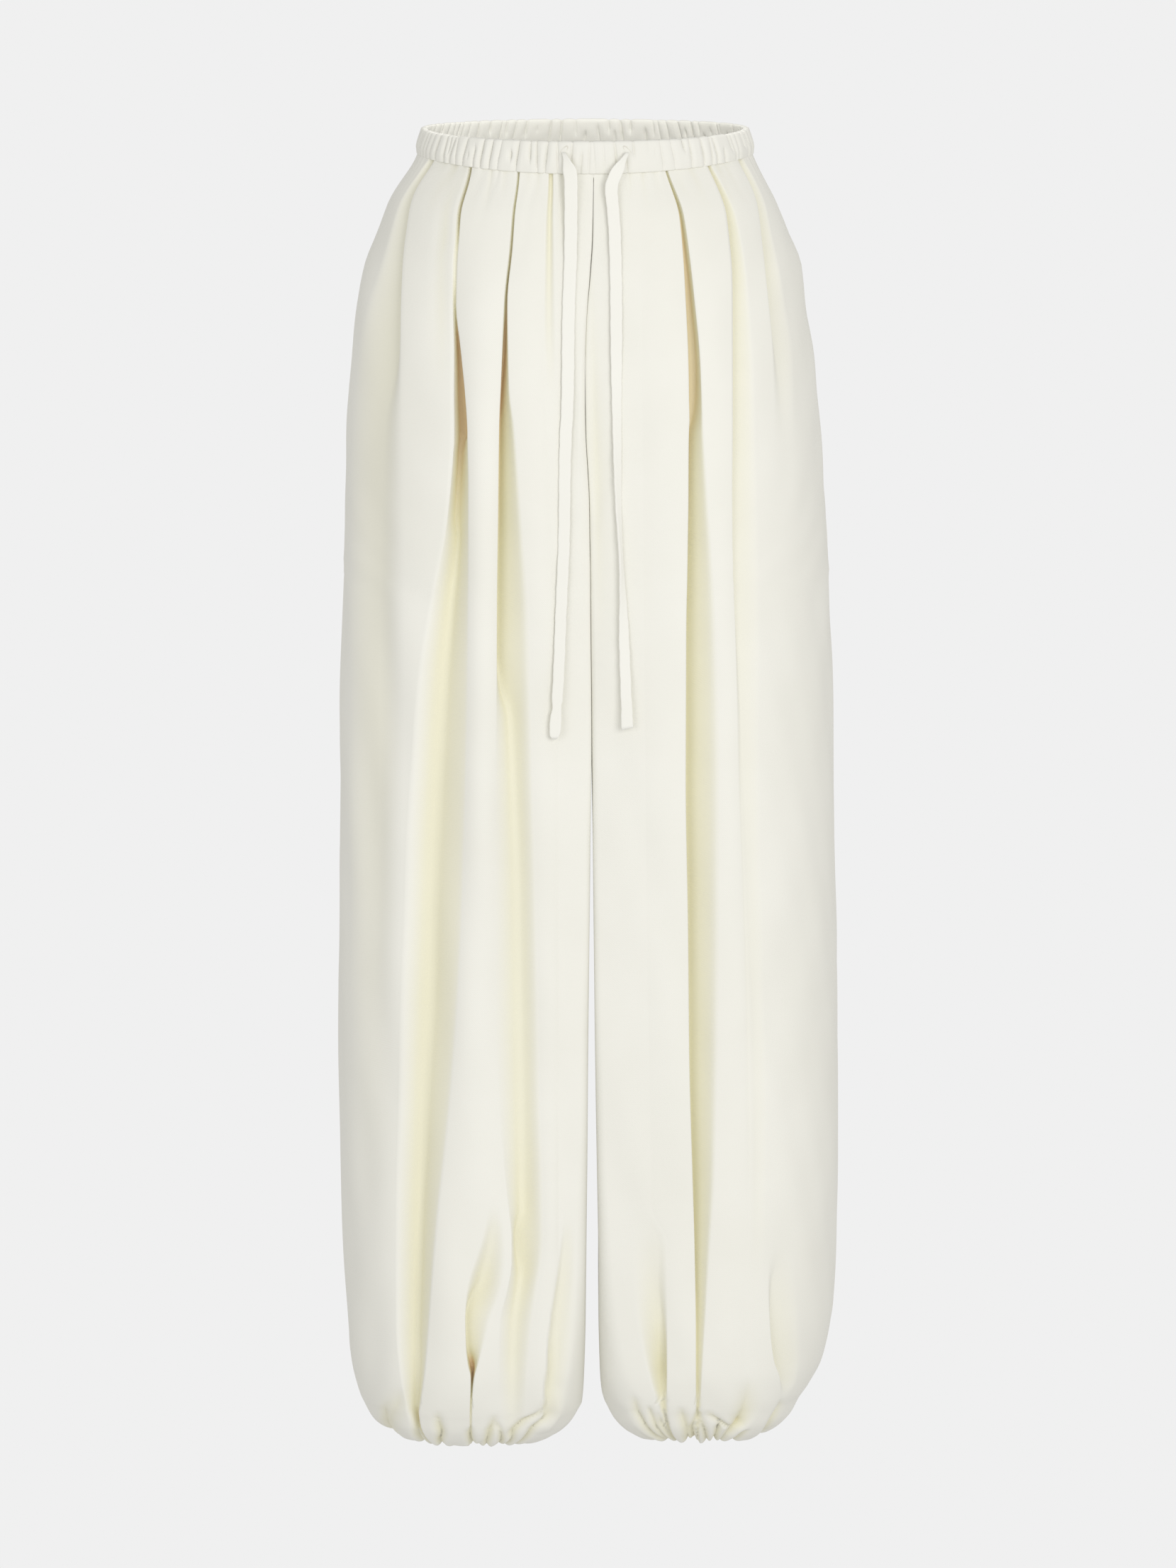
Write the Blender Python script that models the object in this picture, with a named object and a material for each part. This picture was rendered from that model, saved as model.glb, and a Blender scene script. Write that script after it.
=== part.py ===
# Balloon pants: a high waist gathered on elastic, two wide pleated legs, hems gathered on small elastic rings.
# Units are metres, +Z is up, +X is the wearer's left and the front faces -Y.
# The origin is the centre of the waist, halfway up the waistband at the centre front.
import math
from collections import namedtuple

import bmesh
import bpy
import numpy as np

MM = 0.001

# Cloth and seams
WALL = 1.5 * MM
SEAM_GAP = 0.3 * MM

# Heights of the seams
CROTCH_Z = -330 * MM
FRONT_RISE_Z = -200 * MM
BACK_RISE_Z = -175 * MM
SIDE_SEAM_TOP = -3.5 * MM
FRONT_SEAM_DIP = 7.5 * MM
DIP_FADES_Z = -70 * MM

# Waistband casing
BAND_WALL = 3.2 * MM
BAND_CENTRE_X = -2.3 * MM
BAND_HALF_WIDTH = 132 * MM
BAND_DEPTH = 96 * MM
BAND_TOP_SIDE = 17 * MM
BAND_TOP_DIP = 4 * MM
BAND_TOP_BACK_LIFT = 2 * MM
BAND_TAPER = 2.5 * MM
BAND_GATHERS = 36
BAND_GATHER_DEPTH = 0.8 * MM

# Drawstring: two free ends of a flat tie
TIE_WIDTH = 8.4 * MM
TIE_THICKNESS = 2.0 * MM
TIE_CLEARANCE = 0.5 * MM
TIE_POINTS = 34

# Hem: an elastic ring tucked up under the balloon of each leg
HEM_RING_RADIUS = 45 * MM
HEM_CASING_HEIGHT = 12 * MM
HEM_CASING_WALL = 2.5 * MM
HEM_GATHERS = 24
HEM_GATHER_DEPTH = 0.7 * MM
HEM_CENTRE_X = {"right": -95 * MM, "left": 89 * MM}

# Side pockets: a slit in each side seam with a strip behind it
POCKET_TOP_Z = -28 * MM
POCKET_BOTTOM_Z = -132 * MM
POCKET_SLIT = 2.2 * MM
POCKET_FACING_HALF_WIDTH = 12 * MM
POCKET_FACING_WALL = 1.2 * MM
POCKET_FACING_GAP = 0.6 * MM

LEG_SIGN = {"right": -1, "left": 1}
FACE_SIGN = {"front": -1, "back": 1}

# Horizontal sections, in millimetres. mid is where the two legs meet, part the gap between them there.
# side_* is the distance of each side seam from the centre plane, front and back the depths.
# *_w and *_q round the corner at the centre, dip is how far the centre lies behind the panel's middle,
# and reach is the share of the width that the side curve takes.
Section = namedtuple("Section", "z mid part side_right side_left front back front_w front_q back_w back_q dip reach")
SECTIONS = [
    Section(-4, 4.5, 0.3, 133.5, 129.5, 94.5, 94.5, 1.0, 0.5, 1.0, 0.5, 0.0, 0.97),
    Section(-15, 4.4, 0.3, 139.5, 135.0, 97, 98, 1.5, 0.7, 1.5, 0.7, 0.5, 0.96),
    Section(-35, 4.0, 0.3, 151.5, 142.8, 102, 104, 2, 1.0, 3, 1.2, 1.5, 0.94),
    Section(-60, 3.5, 0.3, 163.0, 155.0, 107.5, 111, 3, 1.5, 5, 2.0, 3.0, 0.90),
    Section(-90, 1.5, 0.3, 175, 167, 113.5, 120, 4, 2.0, 7, 3.5, 4.0, 0.86),
    Section(-120, -1.0, 0.3, 181, 170, 118, 127, 5, 3.0, 9, 5, 5.0, 0.82),
    Section(-160, -2.3, 0.3, 184.7, 177, 122, 133, 6, 4.0, 11, 7, 5.5, 0.78),
    Section(-205, -1.9, 0.3, 188.8, 181, 125, 135, 7, 5.5, 13, 10, 6.0, 0.74),
    Section(-270, 0.0, 0.3, 190.7, 185.7, 127, 132, 9, 8.5, 16, 15, 7.0, 0.70),
    Section(-340, 1.2, 0.4, 192.2, 189.7, 126, 125, 12, 14, 20, 22, 8.0, 0.67),
    Section(-450, 2.3, 0.8, 195.5, 193.3, 121, 115, 15, 20, 25, 30, 8.5, 0.63),
    Section(-540, 2.8, 2.8, 196, 194.8, 117, 110, 16, 24, 28, 36, 8.5, 0.61),
    Section(-680, 2.8, 5.0, 197.7, 197.7, 112, 106, 17, 26, 31, 42, 8.5, 0.60),
    Section(-790, 3.2, 7.5, 197.1, 198.9, 109, 104, 18, 28, 33, 45, 8.0, 0.60),
    Section(-860, 3.4, 9.4, 195, 197.5, 107.5, 102, 20, 31, 35, 47, 7.5, 0.60),
    Section(-910, 3.2, 10.0, 193, 196, 105, 99, 24, 36, 38, 49, 7.0, 0.60),
    Section(-954, 3.2, 12.0, 190, 188.3, 99, 93, 30, 42, 42, 51, 5.0, 0.60),
    Section(-977, 3.4, 14.2, 185.5, 179.0, 92, 87, 38, 49, 46, 53, 3.0, 0.60),
    Section(-1000, 4.8, 21.0, 177.7, 163.0, 82, 79, 48, 55, 50, 55, 1.0, 0.60),
]
DIP_WIDTH = 70.0
# Columns beside the centre seam crowd into its corner, the more the wider that corner is
CORNER_CROWD = 0.55
CORNER_CROWD_WIDTH = 12.0

# Rows of the leg panels. Below the last plain row the cloth turns under towards the hem ring:
# spread draws the section in, ring blends it into the ring's circle, even turns the folds into
# evenly spaced gathers and gather is the depth of those.
Row = namedtuple("Row", "z spread ring even gather")
ROWS = [Row(z, 1.0, 0.0, 0.0, 0.0) for z in (-11, -24, -48, -85, -130, -185, -245, -300, -330)]
ROWS += [Row(z, 1.0, 0.0, 0.0, 0.0) for z in (-410, -510, -620, -730, -815, -880, -930, -968)]
ROWS += [
    Row(-990, 1.0, 0.0, 0.15, 0.0),
    Row(-1006, 0.92, 0.05, 0.5, 1.2),
    Row(-1018, 0.80, 0.20, 1.0, 2.6),
    Row(-1023, 0.70, 0.50, 1.0, 2.4),
    Row(-1017, 0.54, 1.0, 1.0, 0.8),
]
# How much higher than these rows the hem of each leg hangs
HEM_LIFT = {"right": 0.0, "left": 3.0}
HEM_LIFT_STARTS_Z = -960

# The floor of a fold takes at least this share of its width
FOLD_FLOOR = 0.16

# Folds of the four panels, in millimetres. near and far are the distances of the fold's edges from the
# centre plane, depth is how far its floor lies behind the cloth beside it, and near_wall and far_wall are
# the shares of its width that its two walls take. A small share is a crisp edge.
FoldRow = namedtuple("FoldRow", "z near far depth near_wall far_wall")
Fold = namedtuple("Fold", "name rows")

FRONT_RIGHT_FOLDS = [
    Fold("gather by the tie", [
        FoldRow(-11, 27, 31, 2.5, 0.4, 0.4),
        FoldRow(-60, 26, 33, 2.5, 0.5, 0.5),
        FoldRow(-120, 25, 34, 1.5, 0.5, 0.5),
        FoldRow(-190, 23, 32, 0.0, 0.5, 0.5),
        FoldRow(-400, 15, 23, 0.0, 0.5, 0.5),
    ]),
    Fold("pleat on the inner side of the ridge", [
        FoldRow(-8, 53.9, 56.0, 3.0, 0.40, 0.40),
        FoldRow(-68, 57.2, 60.0, 4.0, 0.40, 0.40),
        FoldRow(-121, 58.5, 62.5, 6.0, 0.50, 0.30),
        FoldRow(-162, 56.5, 66.2, 9.0, 0.60, 0.25),
        FoldRow(-203, 54.0, 67.3, 12.0, 0.60, 0.22),
        FoldRow(-285, 49.0, 68.0, 14.0, 0.60, 0.18),
        FoldRow(-367, 43.0, 69.3, 15.0, 0.60, 0.22),
        FoldRow(-451, 38.0, 70.5, 15.0, 0.58, 0.28),
        FoldRow(-535, 34.0, 70.2, 15.0, 0.50, 0.38),
        FoldRow(-647, 30.0, 69.2, 15.0, 0.45, 0.42),
        FoldRow(-760, 30.0, 65.5, 14.0, 0.45, 0.35),
        FoldRow(-820, 31.0, 58.8, 13.0, 0.50, 0.28),
        FoldRow(-860, 33.0, 60.0, 10.0, 0.50, 0.30),
        FoldRow(-910, 36.0, 62.0, 5.0, 0.50, 0.40),
        FoldRow(-960, 38.0, 62.0, 2.0, 0.50, 0.50),
        FoldRow(-1000, 40.0, 60.0, 0.0, 0.50, 0.50),
    ]),
    Fold("notch low on the ridge", [
        FoldRow(-11, 70.0, 78.0, 0.0, 0.50, 0.50),
        FoldRow(-300, 74.0, 80.0, 0.0, 0.50, 0.50),
        FoldRow(-700, 78.0, 88.0, 0.0, 0.50, 0.50),
        FoldRow(-841, 73.0, 85.0, 1.0, 0.50, 0.45),
        FoldRow(-877, 78.0, 95.0, 7.0, 0.35, 0.45),
        FoldRow(-913, 82.0, 97.5, 15.0, 0.28, 0.32),
        FoldRow(-940, 85.0, 96.0, 18.0, 0.30, 0.32),
        FoldRow(-968, 87.5, 94.0, 15.0, 0.36, 0.36),
        FoldRow(-990, 89.0, 93.0, 8.0, 0.40, 0.40),
    ]),
    Fold("pleat on the outer side of the ridge", [
        FoldRow(-5, 91.2, 93.4, 3.0, 0.40, 0.40),
        FoldRow(-62, 97.6, 99.8, 4.0, 0.40, 0.40),
        FoldRow(-121, 98.4, 102.0, 6.0, 0.35, 0.45),
        FoldRow(-170, 92.5, 103.0, 9.0, 0.25, 0.55),
        FoldRow(-203, 89.8, 105.0, 12.0, 0.22, 0.55),
        FoldRow(-285, 89.2, 110.0, 16.0, 0.18, 0.58),
        FoldRow(-367, 90.5, 116.0, 18.0, 0.16, 0.58),
        FoldRow(-535, 94.8, 123.0, 19.0, 0.16, 0.58),
        FoldRow(-647, 102.3, 131.0, 19.0, 0.16, 0.58),
        FoldRow(-763, 111.0, 139.0, 19.0, 0.16, 0.58),
        FoldRow(-877, 121.4, 145.0, 19.0, 0.20, 0.55),
        FoldRow(-952, 128.5, 143.5, 17.0, 0.28, 0.50),
        FoldRow(-1000, 133.0, 140.0, 11.0, 0.36, 0.42),
    ]),
    Fold("pressed edge by the pocket", [
        FoldRow(-4, 121.5, 124.5, 2.0, 0.40, 0.50),
        FoldRow(-38, 136.5, 144.5, 4.0, 0.30, 0.60),
        FoldRow(-81, 142.8, 156.0, 6.0, 0.22, 0.65),
        FoldRow(-121, 145.0, 162.0, 7.0, 0.22, 0.65),
        FoldRow(-165, 145.6, 165.0, 6.0, 0.25, 0.65),
        FoldRow(-230, 146.0, 168.0, 3.0, 0.40, 0.50),
        FoldRow(-340, 146.0, 168.0, 2.5, 0.50, 0.50),
        FoldRow(-451, 147.0, 166.0, 4.0, 0.50, 0.50),
        FoldRow(-560, 146.5, 163.0, 3.5, 0.50, 0.50),
        FoldRow(-700, 150.0, 165.0, 1.5, 0.50, 0.50),
        FoldRow(-850, 152.0, 166.0, 0.0, 0.50, 0.50),
    ]),
]

FRONT_LEFT_FOLDS = [
    Fold("hollow low beside the inseam", [
        FoldRow(-11, 30.0, 40.0, 0.0, 0.50, 0.50),
        FoldRow(-820, 36.0, 50.0, 0.0, 0.50, 0.50),
        FoldRow(-863, 36.0, 57.0, 1.5, 0.55, 0.30),
        FoldRow(-900, 42.0, 61.5, 7.0, 0.60, 0.24),
        FoldRow(-940, 49.5, 62.2, 13.0, 0.52, 0.30),
        FoldRow(-965, 55.0, 62.4, 14.0, 0.42, 0.36),
        FoldRow(-990, 58.6, 62.6, 8.0, 0.40, 0.40),
    ]),
    Fold("deep pleat", [
        FoldRow(-9, 62.8, 65.0, 3.0, 0.40, 0.40),
        FoldRow(-41, 66.7, 71.5, 6.0, 0.35, 0.42),
        FoldRow(-68, 71.0, 78.0, 9.0, 0.30, 0.45),
        FoldRow(-108, 73.7, 83.0, 12.0, 0.27, 0.48),
        FoldRow(-148, 76.5, 87.0, 15.0, 0.26, 0.48),
        FoldRow(-203, 77.6, 90.0, 17.0, 0.25, 0.50),
        FoldRow(-312, 76.1, 96.0, 18.0, 0.18, 0.55),
        FoldRow(-367, 75.7, 100.0, 18.0, 0.16, 0.58),
        FoldRow(-476, 75.4, 104.5, 18.0, 0.15, 0.60),
        FoldRow(-591, 75.7, 106.0, 18.0, 0.15, 0.60),
        FoldRow(-703, 79.9, 107.5, 18.0, 0.15, 0.60),
        FoldRow(-792, 82.3, 106.5, 18.0, 0.16, 0.58),
        FoldRow(-849, 83.3, 102.5, 18.0, 0.18, 0.56),
        FoldRow(-907, 83.8, 95.5, 17.0, 0.26, 0.48),
        FoldRow(-952, 84.0, 91.0, 14.0, 0.34, 0.42),
        FoldRow(-985, 84.2, 88.2, 9.0, 0.40, 0.40),
    ]),
    Fold("second pleat", [
        FoldRow(-4, 95.5, 98.5, 2.5, 0.35, 0.50),
        FoldRow(-27, 101.0, 107.0, 3.5, 0.30, 0.60),
        FoldRow(-62, 104.7, 114.0, 5.0, 0.25, 0.65),
        FoldRow(-94, 106.9, 120.0, 5.5, 0.20, 0.70),
        FoldRow(-148, 108.0, 126.0, 6.0, 0.16, 0.75),
        FoldRow(-203, 108.6, 128.0, 6.0, 0.16, 0.75),
        FoldRow(-257, 109.8, 130.0, 5.0, 0.16, 0.75),
        FoldRow(-312, 111.6, 132.0, 4.0, 0.18, 0.75),
        FoldRow(-367, 113.5, 133.0, 3.0, 0.22, 0.70),
        FoldRow(-451, 115.0, 133.0, 2.0, 0.30, 0.60),
        FoldRow(-591, 120.3, 136.0, 1.2, 0.40, 0.50),
        FoldRow(-777, 126.0, 140.0, 0.8, 0.50, 0.50),
        FoldRow(-900, 124.0, 138.0, 0.0, 0.50, 0.50),
    ]),
    Fold("pressed edge by the pocket", [
        FoldRow(-2, 118.5, 121.5, 1.5, 0.40, 0.50),
        FoldRow(-27, 125.0, 129.5, 2.0, 0.35, 0.55),
        FoldRow(-54, 129.2, 135.0, 2.5, 0.30, 0.60),
        FoldRow(-108, 134.6, 145.0, 3.0, 0.25, 0.65),
        FoldRow(-157, 140.1, 153.0, 2.0, 0.30, 0.60),
        FoldRow(-230, 144.0, 158.0, 0.0, 0.50, 0.50),
        FoldRow(-850, 145.0, 159.0, 0.0, 0.50, 0.50),
        FoldRow(-900, 142.0, 158.0, 2.0, 0.40, 0.55),
        FoldRow(-945, 145.0, 161.0, 5.0, 0.30, 0.60),
        FoldRow(-985, 143.0, 154.0, 4.0, 0.35, 0.50),
    ]),
]

BACK_RIGHT_FOLDS = [
    Fold("pleat by the centre back", [
        FoldRow(-5, 34.0, 36.5, 3.0, 0.40, 0.40),
        FoldRow(-90, 37.0, 44.0, 6.0, 0.35, 0.50),
        FoldRow(-205, 37.0, 52.0, 9.0, 0.25, 0.60),
        FoldRow(-400, 38.0, 60.0, 12.0, 0.22, 0.60),
        FoldRow(-650, 44.0, 68.0, 12.0, 0.24, 0.58),
        FoldRow(-860, 50.0, 68.0, 10.0, 0.30, 0.50),
        FoldRow(-990, 58.0, 64.0, 7.0, 0.40, 0.40),
    ]),
    Fold("middle pleat of the back", [
        FoldRow(-5, 72.0, 74.5, 3.0, 0.40, 0.40),
        FoldRow(-90, 80.0, 88.0, 7.0, 0.45, 0.35),
        FoldRow(-205, 80.0, 98.0, 11.0, 0.55, 0.25),
        FoldRow(-400, 82.0, 106.0, 13.0, 0.58, 0.22),
        FoldRow(-650, 92.0, 118.0, 12.0, 0.55, 0.26),
        FoldRow(-860, 98.0, 120.0, 11.0, 0.50, 0.30),
        FoldRow(-990, 104.0, 112.0, 8.0, 0.40, 0.40),
    ]),
    Fold("soft fold by the side", [
        FoldRow(-5, 106.0, 109.0, 2.0, 0.40, 0.50),
        FoldRow(-120, 124.0, 138.0, 4.0, 0.35, 0.60),
        FoldRow(-300, 132.0, 154.0, 5.0, 0.40, 0.60),
        FoldRow(-560, 138.0, 162.0, 5.0, 0.50, 0.50),
        FoldRow(-850, 142.0, 162.0, 4.0, 0.50, 0.50),
        FoldRow(-990, 140.0, 150.0, 5.0, 0.45, 0.45),
    ]),
]

BACK_LEFT_FOLDS = [
    Fold("pleat by the centre back", [
        FoldRow(-5, 28.0, 30.5, 3.0, 0.40, 0.40),
        FoldRow(-90, 31.0, 38.0, 5.0, 0.45, 0.40),
        FoldRow(-205, 32.0, 47.0, 8.0, 0.55, 0.28),
        FoldRow(-420, 36.0, 58.0, 11.0, 0.55, 0.25),
        FoldRow(-640, 40.0, 66.0, 13.0, 0.55, 0.26),
        FoldRow(-850, 42.0, 62.0, 11.0, 0.50, 0.32),
        FoldRow(-990, 46.0, 54.0, 7.0, 0.40, 0.40),
    ]),
    Fold("middle pleat of the back", [
        FoldRow(-5, 62.0, 64.5, 3.0, 0.40, 0.40),
        FoldRow(-90, 70.0, 78.0, 7.0, 0.32, 0.50),
        FoldRow(-205, 72.0, 90.0, 12.0, 0.24, 0.58),
        FoldRow(-420, 78.0, 104.0, 14.0, 0.20, 0.60),
        FoldRow(-640, 80.0, 108.0, 14.0, 0.20, 0.60),
        FoldRow(-850, 84.0, 104.0, 12.0, 0.26, 0.52),
        FoldRow(-990, 92.0, 99.0, 8.0, 0.40, 0.40),
    ]),
    Fold("soft fold by the side", [
        FoldRow(-5, 100.0, 103.0, 2.0, 0.40, 0.50),
        FoldRow(-120, 118.0, 131.0, 5.0, 0.35, 0.60),
        FoldRow(-300, 128.0, 148.0, 6.0, 0.35, 0.60),
        FoldRow(-560, 136.0, 158.0, 4.0, 0.50, 0.50),
        FoldRow(-850, 138.0, 158.0, 3.0, 0.50, 0.50),
        FoldRow(-990, 130.0, 141.0, 5.0, 0.45, 0.45),
    ]),
]

# Where the cloth swells out between two folds: their numbers, and how far in millimetres
Swell = namedtuple("Swell", "after before height")

# One entry for each leg panel: its folds, how many columns each stretch between folds gets, and its swells
Panel = namedtuple("Panel", "leg face folds run_columns swells")
PANELS = {
    "front_right": Panel("right", "front", FRONT_RIGHT_FOLDS, (8, 2, 2, 2, 2, 3),
                         [Swell(0, 1, 1.5), Swell(1, 3, 4.0), Swell(3, 4, 2.5)]),
    "front_left": Panel("left", "front", FRONT_LEFT_FOLDS, (8, 3, 3, 2, 3),
                        [Swell(0, 1, 1.0), Swell(1, 2, 3.0), Swell(2, 3, 1.5)]),
    "back_right": Panel("right", "back", BACK_RIGHT_FOLDS, (7, 2, 2, 3), [Swell(0, 1, 3.0), Swell(1, 2, 2.5)]),
    "back_left": Panel("left", "back", BACK_LEFT_FOLDS, (7, 2, 2, 3), [Swell(0, 1, 2.5), Swell(1, 2, 3.0)]),
}

# Routes of the two ties: how far to the side they hang at each height, in millimetres.
TieRow = namedtuple("TieRow", "z x")
TIES = {
    "right": [TieRow(5, -18.6), TieRow(-2, -16.2), TieRow(-14, -13.0), TieRow(-68, -13.3), TieRow(-121, -15.0),
              TieRow(-176, -15.5), TieRow(-230, -17.7), TieRow(-285, -18.3), TieRow(-340, -20.5),
              TieRow(-409, -23.3), TieRow(-446, -26.0)],
    "left": [TieRow(5, 30.2), TieRow(-6, 23.8), TieRow(-22, 18.0), TieRow(-54, 20.4), TieRow(-94, 21.5),
             TieRow(-176, 22.0), TieRow(-257, 23.2), TieRow(-307, 25.4), TieRow(-340, 27.0),
             TieRow(-381, 28.2), TieRow(-423, 29.9), TieRow(-438, 30.4)],
}

# Ivory cloth: colour, roughness and metallic value
CLOTH = {"color": (0.86, 0.845, 0.77, 1.0), "roughness": 0.55, "metallic": 0.0}
CASING = {"color": (0.84, 0.825, 0.75, 1.0), "roughness": 0.6, "metallic": 0.0}
TIE = {"color": (0.88, 0.865, 0.80, 1.0), "roughness": 0.5, "metallic": 0.0}


def smooth_column(rows, column, z):
    """Value of one column at height z (millimetres): a cubic through the rows that never overshoots."""
    heights = [row.z for row in rows]
    values = [getattr(row, column) for row in rows]
    if z >= heights[0]:
        return values[0]
    if z <= heights[-1]:
        return values[-1]
    slopes = [(b - a) / (zb - za) for a, b, za, zb in zip(values, values[1:], heights, heights[1:])]
    tangents = [slopes[0]]
    for before, after in zip(slopes, slopes[1:]):
        tangents.append(0.0 if before * after <= 0 else 2 * before * after / (before + after))
    tangents.append(slopes[-1])
    i = next(k for k in range(len(rows) - 1) if heights[k + 1] <= z)
    span = heights[i + 1] - heights[i]
    t = (z - heights[i]) / span
    return (values[i] * (1 + 2 * t) * (1 - t) ** 2 + values[i + 1] * t * t * (3 - 2 * t)
            + span * tangents[i] * t * (1 - t) ** 2 - span * tangents[i + 1] * t * t * (1 - t))


def smoothstep(t):
    t = min(max(t, 0.0), 1.0)
    return t * t * (3 - 2 * t)


def corner(centre_w, centre_q, reach_w, reach_q, start, end, count=20):
    """Rounded corner as (w, q) points, with angles in degrees, a little fuller than an ellipse."""
    fullness = 2 / 2.2
    points = []
    for k in range(count + 1):
        angle = math.radians(start + (end - start) * k / count)
        c, s = math.cos(angle), math.sin(angle)
        points.append((centre_w + reach_w * math.copysign(abs(c) ** fullness, c),
                       centre_q + reach_q * math.copysign(abs(s) ** fullness, s)))
    return points


def rise_share(face, z):
    """How much of the depth the centre seam keeps at height z: all above the rise, none below the crotch."""
    top = (FRONT_RISE_Z if face == "front" else BACK_RISE_Z) / MM
    bottom = CROTCH_Z / MM
    if z >= top:
        return 1.0
    if z <= bottom:
        return 0.0
    return math.sqrt(1 - ((top - z) / (top - bottom)) ** 2)


def outline(leg, face, z):
    """Outline of a panel at height z: (w, q) points from the centre seam to the side seam.

    w runs outwards from the line where the legs meet and q runs forwards on a front, backwards on a back.
    """
    section = {name: smooth_column(SECTIONS, name, z) for name in Section._fields[1:]}
    sign = LEG_SIGN[leg]
    inner = section["part"] / 2
    outer = section["side_" + leg] - sign * section["mid"]
    depth = section[face]
    corner_w, corner_height = section[face + "_w"], section[face + "_q"]
    half_gap = SEAM_GAP / MM / 2
    corner_q = depth - corner_height
    seam_q = max(half_gap, corner_q * rise_share(face, z))
    reach = section["reach"] * (outer - inner - corner_w)
    points = []
    if corner_q - seam_q > 0.01:
        points += [(inner, seam_q + (corner_q - seam_q) * k / 8) for k in range(8)]
    points += corner(inner + corner_w, corner_q, corner_w, corner_height, 180, 90)
    front = np.arange(inner + corner_w + 4, min(inner + DIP_WIDTH, outer - reach) - 2, 4.0)
    points += [(w, depth) for w in front]
    points += corner(outer - reach, half_gap, reach, depth - half_gap, 90, 0)
    points = np.array(points)
    away = np.clip((points[:, 0] - inner) / DIP_WIDTH, 0, 1)
    points[:, 1] = np.maximum(half_gap, points[:, 1] * (1 - section["dip"] / depth * (1 - away) ** 2))
    return points, section["mid"]


def stretch_columns(panel):
    """The columns of a panel as (stretch number, place along it), folds and plain stretches in turn."""
    columns = []
    for index, count in enumerate(panel.run_columns):
        columns += [(2 * index, k / count) for k in range(count)]
        if index < len(panel.folds):
            columns += [(2 * index + 1, place) for place in ("near", "near_floor", "middle", "far_floor")]
    columns.append((2 * len(panel.run_columns) - 2, 1.0))
    return columns


def crowded(path, lengths, end, shares, crowd):
    """Lengths along the stretch beside the centre seam, partly by length and partly by how the outline turns."""
    steps = np.diff(path, axis=0)
    heading = np.unwrap(np.arctan2(steps[:, 1], steps[:, 0]))
    turned = np.concatenate([[0.0], np.cumsum(np.abs(np.diff(heading))), [0.0]])
    turned[-1] = turned[-2]
    by_length = lengths / end
    by_turn = turned / np.interp(end, lengths, turned)
    return np.interp(shares, by_length * (1 - crowd) + by_turn * crowd, lengths)


def fold_places(fold, z):
    """Where a fold's named columns lie across its width, from 0 to 1, and how deep each of them is."""
    near_wall = smooth_column(fold.rows, "near_wall", z)
    far_wall = smooth_column(fold.rows, "far_wall", z)
    squeeze = min(1.0, (1 - FOLD_FLOOR) / (near_wall + far_wall))
    near_wall, far_wall = near_wall * squeeze, far_wall * squeeze
    depth = smooth_column(fold.rows, "depth", z)
    floor_middle = (near_wall + 1 - far_wall) / 2
    return {"near": (0.0, 0.0), "near_floor": (near_wall, depth),
            "middle": (floor_middle, depth), "far_floor": (1 - far_wall, depth)}


def place_on_path(path, lengths, s):
    """Point at length s along the path, and the unit normal that points out of the leg there."""
    point = np.array([np.interp(s, lengths, path[:, 0]), np.interp(s, lengths, path[:, 1])])
    step = 1.0
    ahead = np.array([np.interp(s + step, lengths, path[:, k]) for k in (0, 1)])
    behind = np.array([np.interp(s - step, lengths, path[:, k]) for k in (0, 1)])
    tangent = (ahead - behind) / np.linalg.norm(ahead - behind)
    return point, np.array([-tangent[1], tangent[0]])


def panel_section(panel, z, even=0.0):
    """Points of a panel's outer face at height z in (w, q), with the place where the legs meet.

    even moves the columns from the folds' edges to equal spacing, and lets the folds fade with it.
    """
    path, mid = outline(panel.leg, panel.face, z)
    lengths = np.concatenate([[0.0], np.cumsum(np.linalg.norm(np.diff(path, axis=0), axis=1))])
    facing = int(np.argmax(path[:, 0] > path[0, 0] + 1e-6))
    sign = LEG_SIGN[panel.leg]
    edges = [0.0]
    for fold in panel.folds:
        for side in ("near", "far"):
            w = smooth_column(fold.rows, side, z) - sign * mid
            edges.append(np.interp(w, path[facing - 1:, 0], lengths[facing - 1:]))
    edges.append(lengths[-1])
    corner_w = smooth_column(SECTIONS, panel.face + "_w", z)
    crowd = CORNER_CROWD * min(1.0, corner_w / CORNER_CROWD_WIDTH)
    columns = stretch_columns(panel)
    points = []
    for k, (stretch, place) in enumerate(columns):
        start, end = edges[stretch], edges[stretch + 1]
        if stretch % 2:
            share, depth = fold_places(panel.folds[stretch // 2], z)[place]
            s = start + (end - start) * share
        elif stretch == 0:
            s, depth = float(crowded(path, lengths, end, place, crowd)), 0.0
        else:
            s, depth = start + (end - start) * place, 0.0
        for swell in panel.swells:
            first, last = edges[2 * swell.after + 2], edges[2 * swell.before + 1]
            across = min(max((s - first) / (last - first), 0.0), 1.0)
            depth -= swell.height * smoothstep((-20 - z) / 120) * 4 * across * (1 - across)
        s = s * (1 - even) + lengths[-1] * k / (len(columns) - 1) * even
        point, normal = place_on_path(path, lengths, s)
        points.append(point - normal * depth * (1 - even))
    return np.array(points), mid


def seam_height(face, x):
    """Height of the waist seam at x: level at the back, dipping from the sides to the centre front."""
    if face == "back":
        return SIDE_SEAM_TOP
    across = min(1.0, abs(x - BAND_CENTRE_X) / BAND_HALF_WIDTH)
    return SIDE_SEAM_TOP - FRONT_SEAM_DIP * (1 - across ** 2) ** 0.75


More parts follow.
